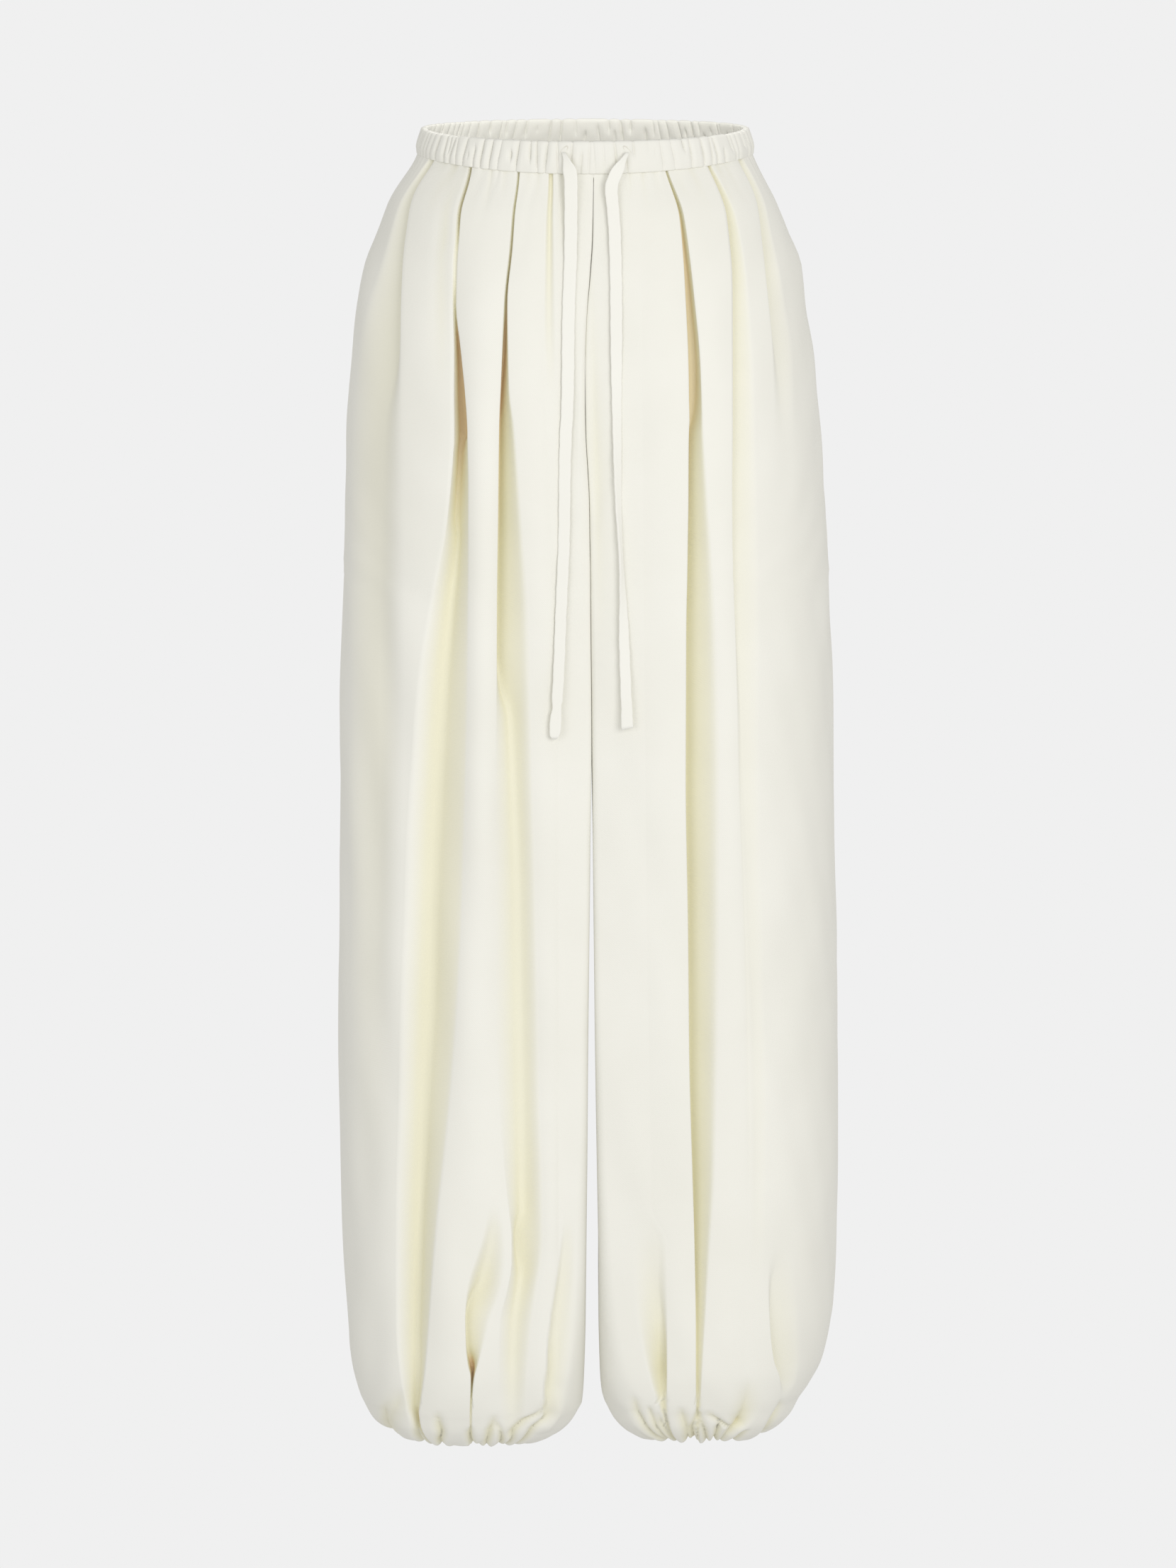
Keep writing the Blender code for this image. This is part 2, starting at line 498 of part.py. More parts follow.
def hem_circle(panel, share):
    """Point of the hem ring in x and y at a share of the way from the inseam to the side seam."""
    angle = math.pi * share
    half_gap = SEAM_GAP / 2
    x = HEM_CENTRE_X[panel.leg] - LEG_SIGN[panel.leg] * HEM_RING_RADIUS * math.cos(angle)
    return x, FACE_SIGN[panel.face] * max(half_gap, HEM_RING_RADIUS * math.sin(angle))


def panel_outer(panel):
    """Outer face of a leg panel as rows of points, from the waist seam down to the hem ring."""
    grid = []
    leg_sign, face_sign = LEG_SIGN[panel.leg], FACE_SIGN[panel.face]
    centre = HEM_CENTRE_X[panel.leg]
    top, last = ROWS[0].z, min(row.z for row in ROWS if row.spread == 1.0)
    for row in ROWS:
        points, mid = panel_section(panel, max(row.z, last), row.even)
        count = len(points)
        line = []
        for k, (w, q) in enumerate(points):
            share = k / (count - 1)
            lift = HEM_LIFT[panel.leg] * smoothstep((HEM_LIFT_STARTS_Z - row.z) / 50)
            x, y, z = mid * MM + leg_sign * w * MM, face_sign * q * MM, (row.z + lift) * MM
            fade = smoothstep((row.z - DIP_FADES_Z / MM) / (top - DIP_FADES_Z / MM))
            z += (seam_height(panel.face, x) - top * MM) * fade
            if row.spread < 1.0:
                ring_x, ring_y = hem_circle(panel, share)
                x = (centre + (x - centre) * row.spread) * (1 - row.ring) + ring_x * row.ring
                y = y * row.spread * (1 - row.ring) + ring_y * row.ring
            line.append([x, y, z])
        grid.append(line)
    grid = np.array(grid)
    add_hem_gathers(grid, face_sign)
    keep_seam_clear(grid, face_sign)
    return grid


def add_hem_gathers(grid, face_sign):
    """Waves that grow towards the hem ring: every fourth column stands out and the one between sinks in."""
    normals = grid_normals(grid, face_sign)
    count = grid.shape[1]
    for r, row in enumerate(ROWS):
        for k in range(2, count - 2):
            grid[r, k] += normals[r, k] * math.sin(math.pi / 2 * k) * row.gather * MM


def keep_seam_clear(grid, face_sign):
    """Holds the side seam and the inseam half a gap away from the plane where front and back meet."""
    half_gap = SEAM_GAP / 2
    for line in grid:
        line[-1, 1] = face_sign * half_gap
        line[:, 1] = np.where(face_sign * line[:, 1] < half_gap, face_sign * half_gap, line[:, 1])


def unit(vectors):
    lengths = np.linalg.norm(vectors, axis=-1, keepdims=True)
    return vectors / np.maximum(lengths, 1e-12)


def bisectors(grid, axis):
    """Direction of each line of the grid at each point, halfway between the edges that meet there."""
    steps = unit(np.diff(grid, axis=axis))
    first = np.take(steps, [0], axis=axis)
    last = np.take(steps, [-1], axis=axis)
    before = np.concatenate([first, steps], axis=axis)
    after = np.concatenate([steps, last], axis=axis)
    return unit(before + after)


def grid_normals(grid, face_sign):
    """Unit normals of a panel's grid that point out of the leg."""
    normals = unit(np.cross(bisectors(grid, 1), bisectors(grid, 0)))
    middle = grid.shape[0] // 2, grid.shape[1] // 2
    if normals[middle][1] * face_sign < 0:
        normals = -normals
    return normals


def panel_inner(outer, face_sign):
    """Inner face of a panel: the outer one moved in by the cloth's wall, level along the seams."""
    normals = grid_normals(outer, face_sign)
    normals[:, -1, 1] = 0.0
    normals[:, 0, 1] = np.where(np.abs(outer[:, 0, 1]) < 1 * MM, 0.0, normals[:, 0, 1])
    normals[0, :, 2] = 0.0
    inner = outer - unit(normals) * WALL
    inner[:, -1, 1] = outer[:, -1, 1]
    return inner


def open_pocket(grid, face_sign):
    """Parts a panel's side edge from the side seam along the pocket's slit."""
    middle = (POCKET_TOP_Z + POCKET_BOTTOM_Z) / 2
    half = (POCKET_TOP_Z - POCKET_BOTTOM_Z) / 2
    for line in grid:
        away = abs(line[-1, 2] - middle) / half
        if away < 1.0:
            line[-1, 1] += face_sign * POCKET_SLIT / 2 * (1 - away ** 2)


def new_material(name, finish):
    material = bpy.data.materials.new(name)
    material.use_nodes = True
    shader = material.node_tree.nodes["Principled BSDF"]
    shader.inputs["Base Color"].default_value = finish["color"]
    shader.inputs["Roughness"].default_value = finish["roughness"]
    shader.inputs["Metallic"].default_value = finish["metallic"]
    material.diffuse_color = finish["color"]
    return material


def add_object(name, points, faces, finish):
    """Makes a closed object from points and faces, with its faces turned outwards."""
    mesh = bpy.data.meshes.new(name)
    mesh.from_pydata([tuple(p) for p in points], [], faces)
    work = bmesh.new()
    work.from_mesh(mesh)
    bmesh.ops.recalc_face_normals(work, faces=work.faces)
    work.to_mesh(mesh)
    work.free()
    mesh.shade_smooth()
    mesh.set_sharp_from_angle(angle=math.radians(50))
    mesh.materials.append(new_material(name, finish))
    item = bpy.data.objects.new(name, mesh)
    bpy.context.scene.collection.objects.link(item)
    return item


def split(a, b, c, d):
    """A four-cornered face as two triangles, always along the same diagonal."""
    return [(a, b, c), (a, c, d)]


def add_shell(name, outer, inner, finish):
    """A cloth wall between two grids of the same size, closed round its rim."""
    rows, columns = outer.shape[:2]
    points = np.concatenate([outer.reshape(-1, 3), inner.reshape(-1, 3)])
    behind = rows * columns

    def index(r, k):
        return r * columns + k

    faces = []
    for r in range(rows - 1):
        for k in range(columns - 1):
            corners = (index(r, k), index(r, k + 1), index(r + 1, k + 1), index(r + 1, k))
            faces += split(*corners)
            faces += [tuple(behind + i for i in reversed(face)) for face in split(*corners)]
    rim = [index(0, k) for k in range(columns)]
    rim += [index(r, columns - 1) for r in range(1, rows)]
    rim += [index(rows - 1, k) for k in range(columns - 2, -1, -1)]
    rim += [index(r, 0) for r in range(rows - 2, 0, -1)]
    for a, b in zip(rim, rim[1:] + rim[:1]):
        faces += split(b, a, behind + a, behind + b)
    return add_object(name, points, faces, finish)


def add_swept(name, rings, finish, closed=False):
    """A solid through rings of points: capped at both ends, or joined end to end when closed."""
    rings = np.array(rings)
    count, sides = rings.shape[:2]
    faces = []
    for r in range(count if closed else count - 1):
        ahead = (r + 1) % count
        for k in range(sides):
            beside = (k + 1) % sides
            faces += split(r * sides + k, r * sides + beside, ahead * sides + beside, ahead * sides + k)
    if not closed:
        faces.append(tuple(range(sides)))
        faces.append(tuple(reversed(range((count - 1) * sides, count * sides))))
    return add_object(name, rings.reshape(-1, 3), faces, finish)


def add_panels():
    """The four leg panels. Returns the outer and inner face of each, before its pocket's slit is opened."""
    grids = {}
    for name, panel in PANELS.items():
        face_sign = FACE_SIGN[panel.face]
        outer = panel_outer(panel)
        inner = panel_inner(outer, face_sign)
        grids[name] = outer.copy(), inner.copy()
        open_pocket(outer, face_sign)
        open_pocket(inner, face_sign)
        add_shell(name, outer, inner, CLOTH)
    return grids


def band_ring(face, angle, swell):
    """Cross-section of the waistband casing at an angle from the side seam, from 0 to 180 degrees."""
    face_sign = FACE_SIGN[face]
    half_gap = SEAM_GAP / 2
    across, forward = math.cos(angle), math.sin(angle)
    if face == "front":
        top = BAND_TOP_SIDE - BAND_TOP_DIP * forward
    else:
        top = BAND_TOP_SIDE + BAND_TOP_BACK_LIFT * forward
    middle_x = BAND_CENTRE_X + (BAND_HALF_WIDTH - BAND_WALL / 2) * across
    bottom = seam_height(face, middle_x) + SEAM_GAP
    height = top - bottom
    bulge = 0.6 * MM
    # Outwards from the inner face of the wall, and up from its lower edge
    profile = [(0.0, 0.0), (BAND_WALL + swell * 0.5, 0.0), (BAND_WALL + bulge + swell, 0.3),
               (BAND_WALL + bulge + swell, 0.72), (BAND_WALL + swell * 0.6, 1.0), (0.0, 1.0),
               (swell * 0.6, 0.5)]
    ring = []
    for outward, up in profile:
        reach = outward - BAND_WALL - BAND_TAPER * up
        x = BAND_CENTRE_X + (BAND_HALF_WIDTH + reach) * across
        y = face_sign * max(half_gap, (BAND_DEPTH + reach) * forward)
        ring.append((x, y, bottom + height * up))
    return ring


def add_waistband():
    """Front and back of the casing, each a run of gathers: one column out, the next one in."""
    for face in ("front", "back"):
        count = 2 * BAND_GATHERS
        rings = []
        for k in range(count + 1):
            drift = 0.35 * math.sin(5.1 * k) if 0 < k < count else 0.0
            angle = math.pi * (k + drift) / count
            swell = BAND_GATHER_DEPTH * (1 if k % 2 else -1) * (0.75 + 0.25 * math.sin(2.3 * k))
            rings.append(band_ring(face, angle, swell if 0 < k < count else 0.0))
        add_swept("waistband_" + face, rings, CASING)


def front_reach(x, z):
    """How far forward the outermost cloth stands at x and height z, in metres: band or leg panel."""
    if z > SIDE_SEAM_TOP - FRONT_SEAM_DIP:
        return BAND_DEPTH + 1.6 * MM
    mid = smooth_column(SECTIONS, "mid", z / MM) * MM
    panel = PANELS["front_right" if x < mid else "front_left"]
    points, mid = panel_section(panel, z / MM)
    return float(np.interp(LEG_SIGN[panel.leg] * (x / MM - mid), points[:, 0], points[:, 1])) * MM


def taut_over(heights, reaches):
    """Line of a tie that lies on what stands out below it and hangs straight where the cloth falls back."""
    hull = []
    for point in zip(heights, reaches):
        while len(hull) > 1:
            (z0, r0), (z1, r1) = hull[-2:]
            if (r1 - r0) * (z0 - point[0]) >= (point[1] - r0) * (z0 - z1):
                break
            hull.pop()
        hull.append(point)
    hull = [(z, max(r, max(q for _, q in hull[:k + 1]))) for k, (z, r) in enumerate(hull)]
    return np.interp([-z for z in heights], [-z for z, _ in hull], [r for _, r in hull])


def tie_route(leg):
    """Middle line of one free end of the drawstring: down the front of the band and the leg panel."""
    rows = TIES[leg]
    heights = [(rows[0].z + (rows[-1].z - rows[0].z) * k / (TIE_POINTS - 1)) * MM for k in range(TIE_POINTS)]
    xs = [smooth_column(rows, "x", z / MM) * MM for z in heights]
    half = TIE_WIDTH / 2
    reaches = [max(front_reach(x + side, z) for side in (-half, 0.0, half)) for x, z in zip(xs, heights)]
    stand_off = TIE_THICKNESS / 2 + TIE_CLEARANCE
    ys = [-(reach + stand_off) for reach in taut_over(heights, reaches)]
    return list(zip(xs, ys, heights))


def add_ties():
    """The two free ends of the drawstring, as flat ties with rounded edges."""
    half, thick = TIE_WIDTH / 2, TIE_THICKNESS / 2
    profile = [(-half, 0.0), (-0.8 * half, -thick), (0.8 * half, -thick), (half, 0.0),
               (0.8 * half, thick), (-0.8 * half, thick)]
    for leg in ("right", "left"):
        rings = []
        for x, y, z in tie_route(leg):
            rings.append([(x + across, y + out, z) for across, out in profile])
        add_swept("drawstring_" + leg, rings, TIE)


def add_hem_casings():
    """An elastic ring for each leg, standing on the turned-in edge of the cloth."""
    count = 2 * HEM_GATHERS
    for leg in ("right", "left"):
        bottom = (ROWS[-1].z + HEM_LIFT[leg]) * MM + WALL + 0.4 * MM
        rings = []
        for k in range(count):
            angle = 2 * math.pi * k / count
            swell = HEM_GATHER_DEPTH * (1 if k % 2 else -1)
            profile = [(-HEM_CASING_WALL, 0.0), (swell * 0.5, 0.0), (0.5 * MM + swell, 0.5),
                       (swell * 0.5, 1.0), (-HEM_CASING_WALL, 1.0)]
            rings.append([(HEM_CENTRE_X[leg] + (HEM_RING_RADIUS + out) * math.cos(angle),
                           (HEM_RING_RADIUS + out) * math.sin(angle),
                           bottom + HEM_CASING_HEIGHT * up) for out, up in profile])
        add_swept("hem_casing_" + leg, rings, CASING, closed=True)


def add_pocket_facings(grids):
    """A narrow strip of cloth behind each pocket's slit, made from the panels' inner faces moved in."""
    rows = [r for r, row in enumerate(ROWS) if POCKET_BOTTOM_Z - 5 * MM <= row.z * MM <= POCKET_TOP_Z + 5 * MM]
    for leg in ("right", "left"):
        sides = []
        for face in ("front", "back"):
            outer, inner = grids[face + "_" + leg]
            inward = unit(inner - outer)
            seam, beside = inner[rows, -1], inner[rows, -2]
            reach = POCKET_FACING_HALF_WIDTH / np.linalg.norm(beside - seam, axis=1, keepdims=True)
            sides.append((seam, seam + (beside - seam) * reach, inward[rows, -1]))
        (front_seam, front_edge, front_inward), (back_seam, back_edge, back_inward) = sides
        line = np.stack([front_edge, (front_seam + back_seam) / 2, back_edge], axis=1)
        inward = np.stack([front_inward, unit(front_inward + back_inward), back_inward], axis=1)
        outer = line + inward * POCKET_FACING_GAP
        inner = line + inward * (POCKET_FACING_GAP + POCKET_FACING_WALL)
        add_shell("pocket_facing_" + leg, outer, inner, CLOTH)


def main():
    for item in list(bpy.data.objects):
        bpy.data.objects.remove(item, do_unlink=True)
    grids = add_panels()
    add_pocket_facings(grids)
    add_waistband()
    add_ties()
    add_hem_casings()


main()
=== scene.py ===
# Balloon pants in ivory cloth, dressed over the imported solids.
# Units are metres, +Z is up, +X is the wearer's left and the front faces -Y.
# Tables are in millimetres. The origin is the centre of the waist.
import math
from collections import namedtuple

import bmesh
import bpy
import numpy as np
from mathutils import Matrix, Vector


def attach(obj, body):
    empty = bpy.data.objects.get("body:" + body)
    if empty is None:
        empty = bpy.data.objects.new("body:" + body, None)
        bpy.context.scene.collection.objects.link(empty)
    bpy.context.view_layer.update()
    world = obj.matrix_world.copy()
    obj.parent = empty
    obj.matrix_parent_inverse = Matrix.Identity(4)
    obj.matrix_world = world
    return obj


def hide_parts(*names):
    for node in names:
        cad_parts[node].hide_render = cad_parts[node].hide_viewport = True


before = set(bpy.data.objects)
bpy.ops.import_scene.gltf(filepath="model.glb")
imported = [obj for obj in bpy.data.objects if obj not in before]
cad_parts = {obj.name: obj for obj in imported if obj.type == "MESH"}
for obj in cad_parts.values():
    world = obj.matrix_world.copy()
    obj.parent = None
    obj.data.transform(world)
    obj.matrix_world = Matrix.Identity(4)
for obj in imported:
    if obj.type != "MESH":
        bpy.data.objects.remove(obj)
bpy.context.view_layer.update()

MM = 0.001

# Camera: the photograph's viewing angle, 6 m away and looking a little down
PHOTO_HEIGHT_PX = 2212
METRES_PER_PX = 0.00056
CAMERA_DISTANCE = 6.0
CAMERA_PITCH = math.radians(8.4)
LOOK_AT = Vector((0.0, 0.0, -0.4995))
SENSOR = 36.0

# Cloth and seams. Half the seam gap keeps each panel on its own side of the side seam.
WALL = 1.2 * MM
SEAM_GAP = 0.3
HALF_GAP = SEAM_GAP / 2

# Heights of the seams
CROTCH_Z = -330.0
RISE_Z = {"front": -200.0, "back": -175.0}
SIDE_SEAM_TOP = -0.6
FRONT_SEAM_DIP = 10.4
DIP_FADES_Z = -70.0
TOP_Z = -11.0

# Waistband casing
BAND_WALL = 3.2
BAND_CENTRE_X = -2.3
BAND_HALF_WIDTH = 132.0
BAND_DEPTH = 96.0
BAND_TOP_SIDE = 18.4
BAND_TOP_LIFT = {"front": -5.4, "back": 0.8}
BAND_LIP = 1.5
BAND_TUCK = 0.9
BAND_SIDE_TAPER = 3.0
BAND_TAPER = 2.5
BAND_COLUMNS = 900
BAND_CREASES = {"front": 50, "back": 46}
BAND_SEEDS = {"front": 21, "back": 22}
# The casing is calmer where the ties come out: x, width and share
BAND_CALM = {"front": ((6, 17, 0.5), (50, 13, 0.55)), "back": ()}

# Drawstring
TIE_RINGS = 170
TIE_SIDES = 20

# Hem ring under the balloon of each leg
HEM_RING_RADIUS = 45.0
HEM_CASING_HEIGHT = 12.0
HEM_CASING_WALL = 2.5
HEM_CASING_LIFT = 1.9
HEM_CENTRE_X = {"right": -95.0, "left": 89.0}
HEM_COLUMNS = 360
HEM_PUCKERS = 46
HEM_SEEDS = {"right": 31, "left": 32}

# Side pockets
POCKET_TOP_Z = -28.0
POCKET_BOTTOM_Z = -132.0
POCKET_SLIT = 2.2
POCKET_FACING_HALF_WIDTH = 12.0
POCKET_FACING_WALL = 1.0
POCKET_FACING_GAP = 0.6

# Stitched ovals where the ties leave the band: half length and half height, turn in degrees, and thread
BUTTONHOLE = (4.4, 1.5)
BUTTONHOLE_TILT = {"right": 50, "left": -50}
BUTTONHOLE_STITCHES = 40
THREAD_RADIUS = 0.45

LEGS = ("right", "left")
LEG_SIGN = {"right": -1, "left": 1}
FACE_SIGN = {"front": -1, "back": 1}


def rows(kind, values):
    """Rows of a table with named columns."""
    return [kind(*value) for value in values]


def tables(kind, lists):
    """A table for each list of rows."""
    return [rows(kind, values) for values in lists]


# Horizontal sections of the two legs, the same as the solids have. mid is where the legs meet, part the
# gap between them there. side_* is the distance of each side seam from the centre plane, front and back
# the depths. *_w and *_q round the corner at the centre, dip is how far the centre lies behind the
# panel's middle, and reach is the share of the width that the side curve takes.
Section = namedtuple("Section", "z mid part side_right side_left front back "
                                "front_w front_q back_w back_q dip reach")
SECTIONS = rows(Section, (
    (-4, 4.5, 0.3, 133.5, 129.5, 94.5, 94.5, 1, 0.5, 1, 0.5, 0, 0.97),
    (-15, 4.4, 0.3, 139.5, 135, 97, 98, 1.5, 0.7, 1.5, 0.7, 0.5, 0.96),
    (-35, 4, 0.3, 151.5, 142.8, 102, 104, 1.8, 1, 3, 1.2, 1.5, 0.94),
    (-60, 3.5, 0.3, 163, 155, 107.5, 111, 2, 1.3, 5, 2, 3, 0.9),
    (-90, 1.5, 0.3, 175, 167, 113.5, 120, 2.5, 1.5, 7, 3.5, 4, 0.86),
    (-120, -1, 0.3, 181, 170, 118, 127, 3, 1.8, 9, 5, 5, 0.82),
    (-160, -2.3, 0.3, 184.7, 177, 122, 133, 3, 2, 11, 7, 5.5, 0.78),
    (-205, -1.9, 0.3, 188.8, 181, 125, 135, 3, 2, 13, 10, 6, 0.74),
    (-270, 0, 0.3, 190.7, 185.7, 127, 132, 3, 2.5, 16, 15, 7, 0.7),
    (-340, 1.2, 0.3, 192.2, 189.7, 126, 125, 3.5, 3, 20, 22, 8, 0.67),
    (-450, 2.3, 0.4, 195.5, 193.3, 121, 115, 4, 4, 25, 30, 8.5, 0.63),
    (-540, 2.8, 2, 196, 194.8, 117, 110, 5, 5, 28, 36, 8.5, 0.61),
    (-680, 2.8, 5, 197.7, 197.7, 112, 106, 6, 7, 31, 42, 8.5, 0.6),
    (-790, 3.2, 7.5, 197.1, 198.9, 109, 104, 8, 10, 33, 45, 8, 0.6),
    (-860, 3.4, 9.4, 195, 197.5, 107.5, 102, 11, 15, 35, 47, 7.5, 0.6),
    (-910, 3.2, 10, 193, 196, 105, 99, 16, 24, 38, 49, 7, 0.6),
    (-954, 3.2, 12, 190, 188.3, 99, 93, 24, 36, 42, 51, 5, 0.6),
    (-977, 3.4, 14.2, 185.5, 179, 92, 87, 34, 46, 46, 53, 3, 0.6),
    (-1000, 4.8, 21, 177.7, 163, 82, 79, 48, 55, 50, 55, 1, 0.6),
))
DIP_WIDTH = 70.0
# Columns beside the centre seam crowd into its corner
CORNER_CROWD = 0.48
CORNER_CROWD_WIDTH = 4.0
# Just behind the front the two legs' inner faces lean over to one side together
LEAN_SIDEWAYS = 1.5
LEAN_BEHIND = 6.0
LEAN_WIDTH = 12.0

# The way down the leg and under it. v is the length along the cloth, like a height that keeps falling
# under the hem. spread draws the section in and ring blends it into the hem ring's circle.
HemRow = namedtuple("HemRow", "v z spread ring")
LAST_PLAIN_Z = -990.0
FOLDS_END_V = -1000.0
HEM_ROWS = rows(HemRow, (
    (-990, -990, 1, 0), (-1007, -1006, 0.92, 0.05), (-1026, -1018, 0.8, 0.2), (-1042, -1023, 0.7, 0.5),
    (-1055, -1017, 0.54, 1),
))
# How much higher than these rows the hem of each leg hangs
HEM_LIFT = {"right": 0.0, "left": 3.0}

# Where down the leg something begins, and over which length it grows
LEAN_GROWS = (RISE_Z["front"], 60)
LEAN_ENDS = (-470, 70)
SWELLS_GROW = (-20, 120)
SWELLS_END = (-968, 60)
DRIFT_GROWS = (-20, 60)
HEM_LIFT_GROWS = (-960, 50)
COLUMNS_EVEN_OUT = (-970, 55)
FOLDS_FADE = (-990, 60)
GATHER_LENGTH = 44
# From here up the cloth is drawn in to the band's loop
DRAWN_IN_Z = -46
DRAWN_IN_LENGTH = 34

# Folds of the four panels. near and far are the distances of a fold's edges from the centre plane, depth
# is how far its floor lies behind the cloth beside it, and the walls are shares of its width, 0.4 each
# unless a row says otherwise.
FoldRow = namedtuple("FoldRow", "z near far depth near_wall far_wall", defaults=(0.4, 0.4))
FRONT_RIGHT_FOLDS = tables(FoldRow, (
    # A gather by the tie
    [(-11, 27, 31, 2.5), (-60, 26, 33, 2.5, 0.5, 0.5), (-120, 25, 34, 1.5, 0.5, 0.5),
     (-190, 23, 32, 0, 0.5, 0.5), (-400, 15, 23, 0, 0.5, 0.5)],
    # Pleat on the inner side of the ridge
    [(-8, 53.9, 56, 3), (-68, 58, 60.4, 4.5), (-108, 61.8, 64.4, 6, 0.4, 0.36),
     (-145, 61.2, 65.8, 10, 0.4, 0.26), (-178, 60, 67.2, 13, 0.5, 0.2), (-203, 56.5, 68.3, 15, 0.6, 0.16),
     (-285, 50, 69.4, 17, 0.64, 0.14), (-340, 46, 70.2, 17, 0.62, 0.15),
     (-372, 45, 70.4, 15.5, 0.64, 0.18), (-405, 44.5, 70.6, 13.5, 0.64, 0.27),
     (-445, 43.5, 71, 11.5, 0.56, 0.4), (-490, 42.5, 71.5, 10, 0.5, 0.48),
     (-560, 40.5, 72, 9.2, 0.45, 0.54), (-660, 38.5, 72, 9.2, 0.43, 0.56), (-740, 37, 69, 9.8, 0.46, 0.53),
     (-782, 35.5, 65.8, 11, 0.5, 0.47), (-817, 35, 62.5, 12, 0.56, 0.38),
     (-842, 34.5, 59.8, 12.5, 0.64, 0.29), (-862, 36.5, 59.8, 12.5, 0.6, 0.31),
     (-885, 40, 63.5, 10.5, 0.56, 0.38), (-910, 43.5, 69, 8.5, 0.54, 0.44), (-940, 46, 70, 7, 0.54, 0.44),
     (-970, 48, 70, 4.5, 0.5, 0.48), (-1000, 50, 68, 1.5, 0.5, 0.5)],
    # Notch low on the ridge
    [(-11, 70, 78, 0, 0.5, 0.5), (-300, 74, 79, 0, 0.5, 0.5), (-420, 75, 80, 0, 0.5, 0.5),
     (-560, 76, 81, 0, 0.5, 0.5), (-740, 74, 82, 0, 0.5, 0.5), (-815, 68, 79, 0, 0.5, 0.5),
     (-842, 64.5, 83, 4, 0.58, 0.38), (-861, 64, 89, 7.5, 0.6, 0.38), (-877, 65.5, 94, 10.5, 0.62, 0.35),
     (-892, 69.5, 95.8, 12, 0.64, 0.29), (-908, 76, 96.2, 10.2, 0.68, 0.23),
     (-920, 79, 96, 9.2, 0.68, 0.24), (-932, 82.4, 95.6, 9.2, 0.66, 0.26),
     (-945, 86.4, 94.2, 11.5, 0.48, 0.3), (-955, 89.4, 92.2, 11, 0.36, 0.36), (-964, 90.4, 92.4, 5),
     (-978, 91, 93.2, 2.4), (-990, 91.2, 93.6, 1.8)],
    # Pleat on the outer side of the ridge
    [(-5, 94, 96.5, 4), (-25, 95.5, 98.8, 6, 0.38, 0.38), (-45, 98, 101.2, 5, 0.38, 0.4),
     (-62, 99.2, 102.6, 3, 0.42, 0.5), (-80, 100.4, 105, 1.5, 0.42, 0.5),
     (-112, 101.6, 104.6, 3.5, 0.38, 0.4), (-144, 98.2, 103.4, 10, 0.28, 0.24),
     (-178, 94.6, 103.2, 14, 0.26, 0.22), (-203, 92.8, 103, 16, 0.24, 0.24),
     (-222, 92.2, 103.6, 16, 0.38, 0.24), (-245, 91.8, 105.4, 16, 0.54, 0.25),
     (-275, 91.8, 108.6, 15.5, 0.62, 0.29), (-305, 91.8, 114.5, 15.5, 0.57, 0.4),
     (-345, 92, 123, 15, 0.54, 0.44), (-398, 92.6, 131, 14.5, 0.55, 0.43),
     (-451, 93.5, 136, 14.5, 0.55, 0.43), (-535, 96, 141.5, 14.5, 0.56, 0.42),
     (-592, 98, 143.5, 14.5, 0.56, 0.42), (-647, 100.8, 145.5, 14.5, 0.56, 0.42),
     (-715, 106, 148, 14.5, 0.56, 0.42), (-771, 111.5, 149.5, 14.5, 0.56, 0.42),
     (-820, 117, 150.5, 14.5, 0.56, 0.41), (-877, 122, 151, 14.5, 0.55, 0.42),
     (-920, 125.5, 150.5, 14, 0.53, 0.43), (-952, 128.5, 148, 12, 0.44, 0.42),
     (-1000, 135, 142, 7, 0.38, 0.42)],
    # Pressed edge by the pocket
    [(-4, 121.5, 124.5, 2, 0.4, 0.5), (-38, 136.5, 144.5, 4, 0.3, 0.6), (-81, 142.8, 160, 6, 0.24, 0.7),
     (-121, 144, 172, 6.5, 0.26, 0.72), (-165, 143.6, 180, 6, 0.3, 0.7), (-230, 143, 184, 5, 0.38, 0.62),
     (-340, 142.5, 186, 4.5, 0.42, 0.58), (-451, 143, 187, 4.5, 0.42, 0.58),
     (-560, 146, 187, 3.5, 0.45, 0.55), (-700, 151, 186, 1.5, 0.5, 0.5), (-850, 154, 184, 0, 0.5, 0.5)],
))
